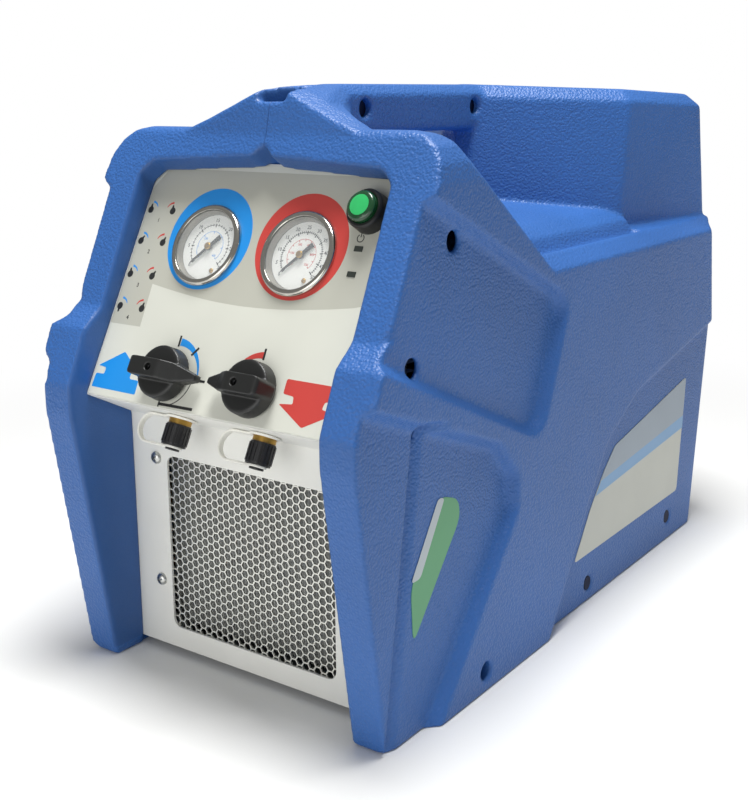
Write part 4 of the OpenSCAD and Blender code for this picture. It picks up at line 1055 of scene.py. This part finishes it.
class MACHINE_OT_stage(Dresser, bpy.types.Operator):
    """Lays the pale floor and sets the soft lights and the camera"""
    bl_idname = "machine.stage"
    bl_label = "Studio stage"

    def execute(self, context):
        scene = context.scene
        stage = scene.machine_stage
        floor_radius, floor_drop = 6.0, 0.0002
        fade_start, fade_end = 0.32, 0.85
        bm = bmesh.new()
        bmesh.ops.create_circle(bm, cap_ends=True, segments=64, radius=floor_radius)
        # The floor keeps its shadow near the machine and fades to white further out
        mat, tree, shader = material("pale_studio_floor", list(stage.floor), 0.7)
        path = add(tree, "ShaderNodeLightPath")
        seen = add(tree, "ShaderNodeMath", [(path.outputs["Is Camera Ray"], 0),
                                            (path.outputs["Is Glossy Ray"], 1)], operation="MAXIMUM")
        seen = add(tree, "ShaderNodeMath", [(seen.outputs[0], 0),
                                            (path.outputs["Is Transmission Ray"], 1)], operation="MAXIMUM")
        here = add(tree, "ShaderNodeTexCoord").outputs["Object"]
        reach = add(tree, "ShaderNodeVectorMath", [(here, 0)], operation="LENGTH")
        fade = add(tree, "ShaderNodeMapRange", [(reach.outputs["Value"], "Value")],
                   interpolation_type="SMOOTHSTEP", From_Min=fade_start, From_Max=fade_end)
        amount = add(tree, "ShaderNodeMath", [(fade.outputs["Result"], 0), (seen.outputs[0], 1)],
                     operation="MULTIPLY")
        white = add(tree, "ShaderNodeEmission")
        mix = add(tree, "ShaderNodeMixShader", [(amount.outputs[0], 0), (shader.outputs[0], 1),
                                                (white.outputs[0], 2)])
        tree.links.new(mix.outputs[0], tree.nodes["Material Output"].inputs["Surface"])
        floor = from_bmesh("studio_floor", bm, mat)
        floor.location.z = -floor_drop

        # Even room light, seen as white by the camera and through glass
        world = bpy.data.worlds.new("even_room")
        scene.world = world
        world.use_nodes = True
        tree = world.node_tree
        tree.nodes.clear()
        path = add(tree, "ShaderNodeLightPath")
        room = add(tree, "ShaderNodeBackground", Color=(1, 1, 1, 1), Strength=stage.world)
        white = add(tree, "ShaderNodeBackground", Color=(1, 1, 1, 1), Strength=1.0)
        seen = add(tree, "ShaderNodeMath", [(path.outputs["Is Camera Ray"], 0),
                                            (path.outputs["Is Transmission Ray"], 1)], operation="MAXIMUM")
        mix = add(tree, "ShaderNodeMixShader", [(seen.outputs[0], 0), (room.outputs[0], 1),
                                                (white.outputs[0], 2)])
        add(tree, "ShaderNodeOutputWorld", [(mix.outputs[0], "Surface")])

        lamps = (("key_softbox", stage.key, 0.6, (0.1, -0.08, 1.6), (0, -0.05, 0.15)),
                 ("fill_softbox", stage.fill, 1.0, (0.15, -1.5, 0.2), (0, 0, 0.12)))
        for name, power, size, spot, aim in lamps:
            light = bpy.data.lights.new(name, "AREA")
            light.energy, light.size = power, size
            lamp = new_object(name, light)
            lamp.location = spot
            lamp.rotation_mode = "QUATERNION"
            lamp.rotation_quaternion = (Vector(aim) - Vector(spot)).to_track_quat("-Z", "Y")

        # Camera with a fitted place, direction, roll, lens and shift
        camera = bpy.data.cameras.new("camera")
        holder = new_object("camera", camera)
        azimuth, elevation, roll = math.radians(35.11), math.radians(11.95), math.radians(-0.31)
        level = math.cos(elevation)
        back = Vector((math.sin(azimuth) * level, -math.cos(azimuth) * level, math.sin(elevation)))
        aim = (-back).to_track_quat("-Z", "Y")
        holder.rotation_mode = "QUATERNION"
        holder.rotation_quaternion = aim @ Matrix.Rotation(roll, 4, "Z").to_quaternion()
        holder.location = (0.4555, -0.6981, 0.3522)
        camera.lens, camera.sensor_width = 53.33, 36.0
        camera.shift_x, camera.shift_y = -0.0225, -0.07
        camera.clip_start, camera.clip_end = 0.01, 50
        scene.camera = holder
        scene.view_settings.view_transform = "Standard"
        return {"FINISHED"}


class MACHINE_PT_panel(bpy.types.Panel):
    """Lists the steps and settings of the recovery machine"""
    bl_idname = "MACHINE_PT_panel"
    bl_label = "Recovery machine"
    bl_space_type = "VIEW_3D"
    bl_region_type = "UI"
    bl_category = "Recovery"

    def draw(self, context):
        column = self.layout.column()
        for step in STEPS:
            column.operator(step.bl_idname)
        for holder in SETTINGS:
            group = getattr(context.scene, holder)
            for key in group.bl_rna.properties.keys():
                if key not in {"rna_type", "name"}:
                    column.prop(group, key)


STEPS = (MACHINE_OT_shell, MACHINE_OT_labels, MACHINE_OT_panel, MACHINE_OT_print, MACHINE_OT_mesh,
         MACHINE_OT_panel_screws, MACHINE_OT_gauges, MACHINE_OT_knobs, MACHINE_OT_ports,
         MACHINE_OT_switch, MACHINE_OT_drive, MACHINE_OT_rear, MACHINE_OT_stage)
SETTINGS = {"machine_shell": ShellSettings, "machine_panel": PanelSettings,
            "machine_control": ControlSettings, "machine_stage": StageSettings}


def register():
    for group in SETTINGS.values():
        bpy.utils.register_class(group)
    for holder, group in SETTINGS.items():
        setattr(bpy.types.Scene, holder, PointerProperty(type=group))
    for step in STEPS:
        bpy.utils.register_class(step)
    bpy.utils.register_class(MACHINE_PT_panel)


def unregister():
    bpy.utils.unregister_class(MACHINE_PT_panel)
    for step in reversed(STEPS):
        bpy.utils.unregister_class(step)
    for holder, group in SETTINGS.items():
        delattr(bpy.types.Scene, holder)
        bpy.utils.unregister_class(group)


def main():
    register()
    make_finishes()
    for step in STEPS:
        getattr(bpy.ops.machine, step.bl_idname.split(".")[1])()
    bpy.context.view_layer.update()


if __name__ == "__main__":
    main()
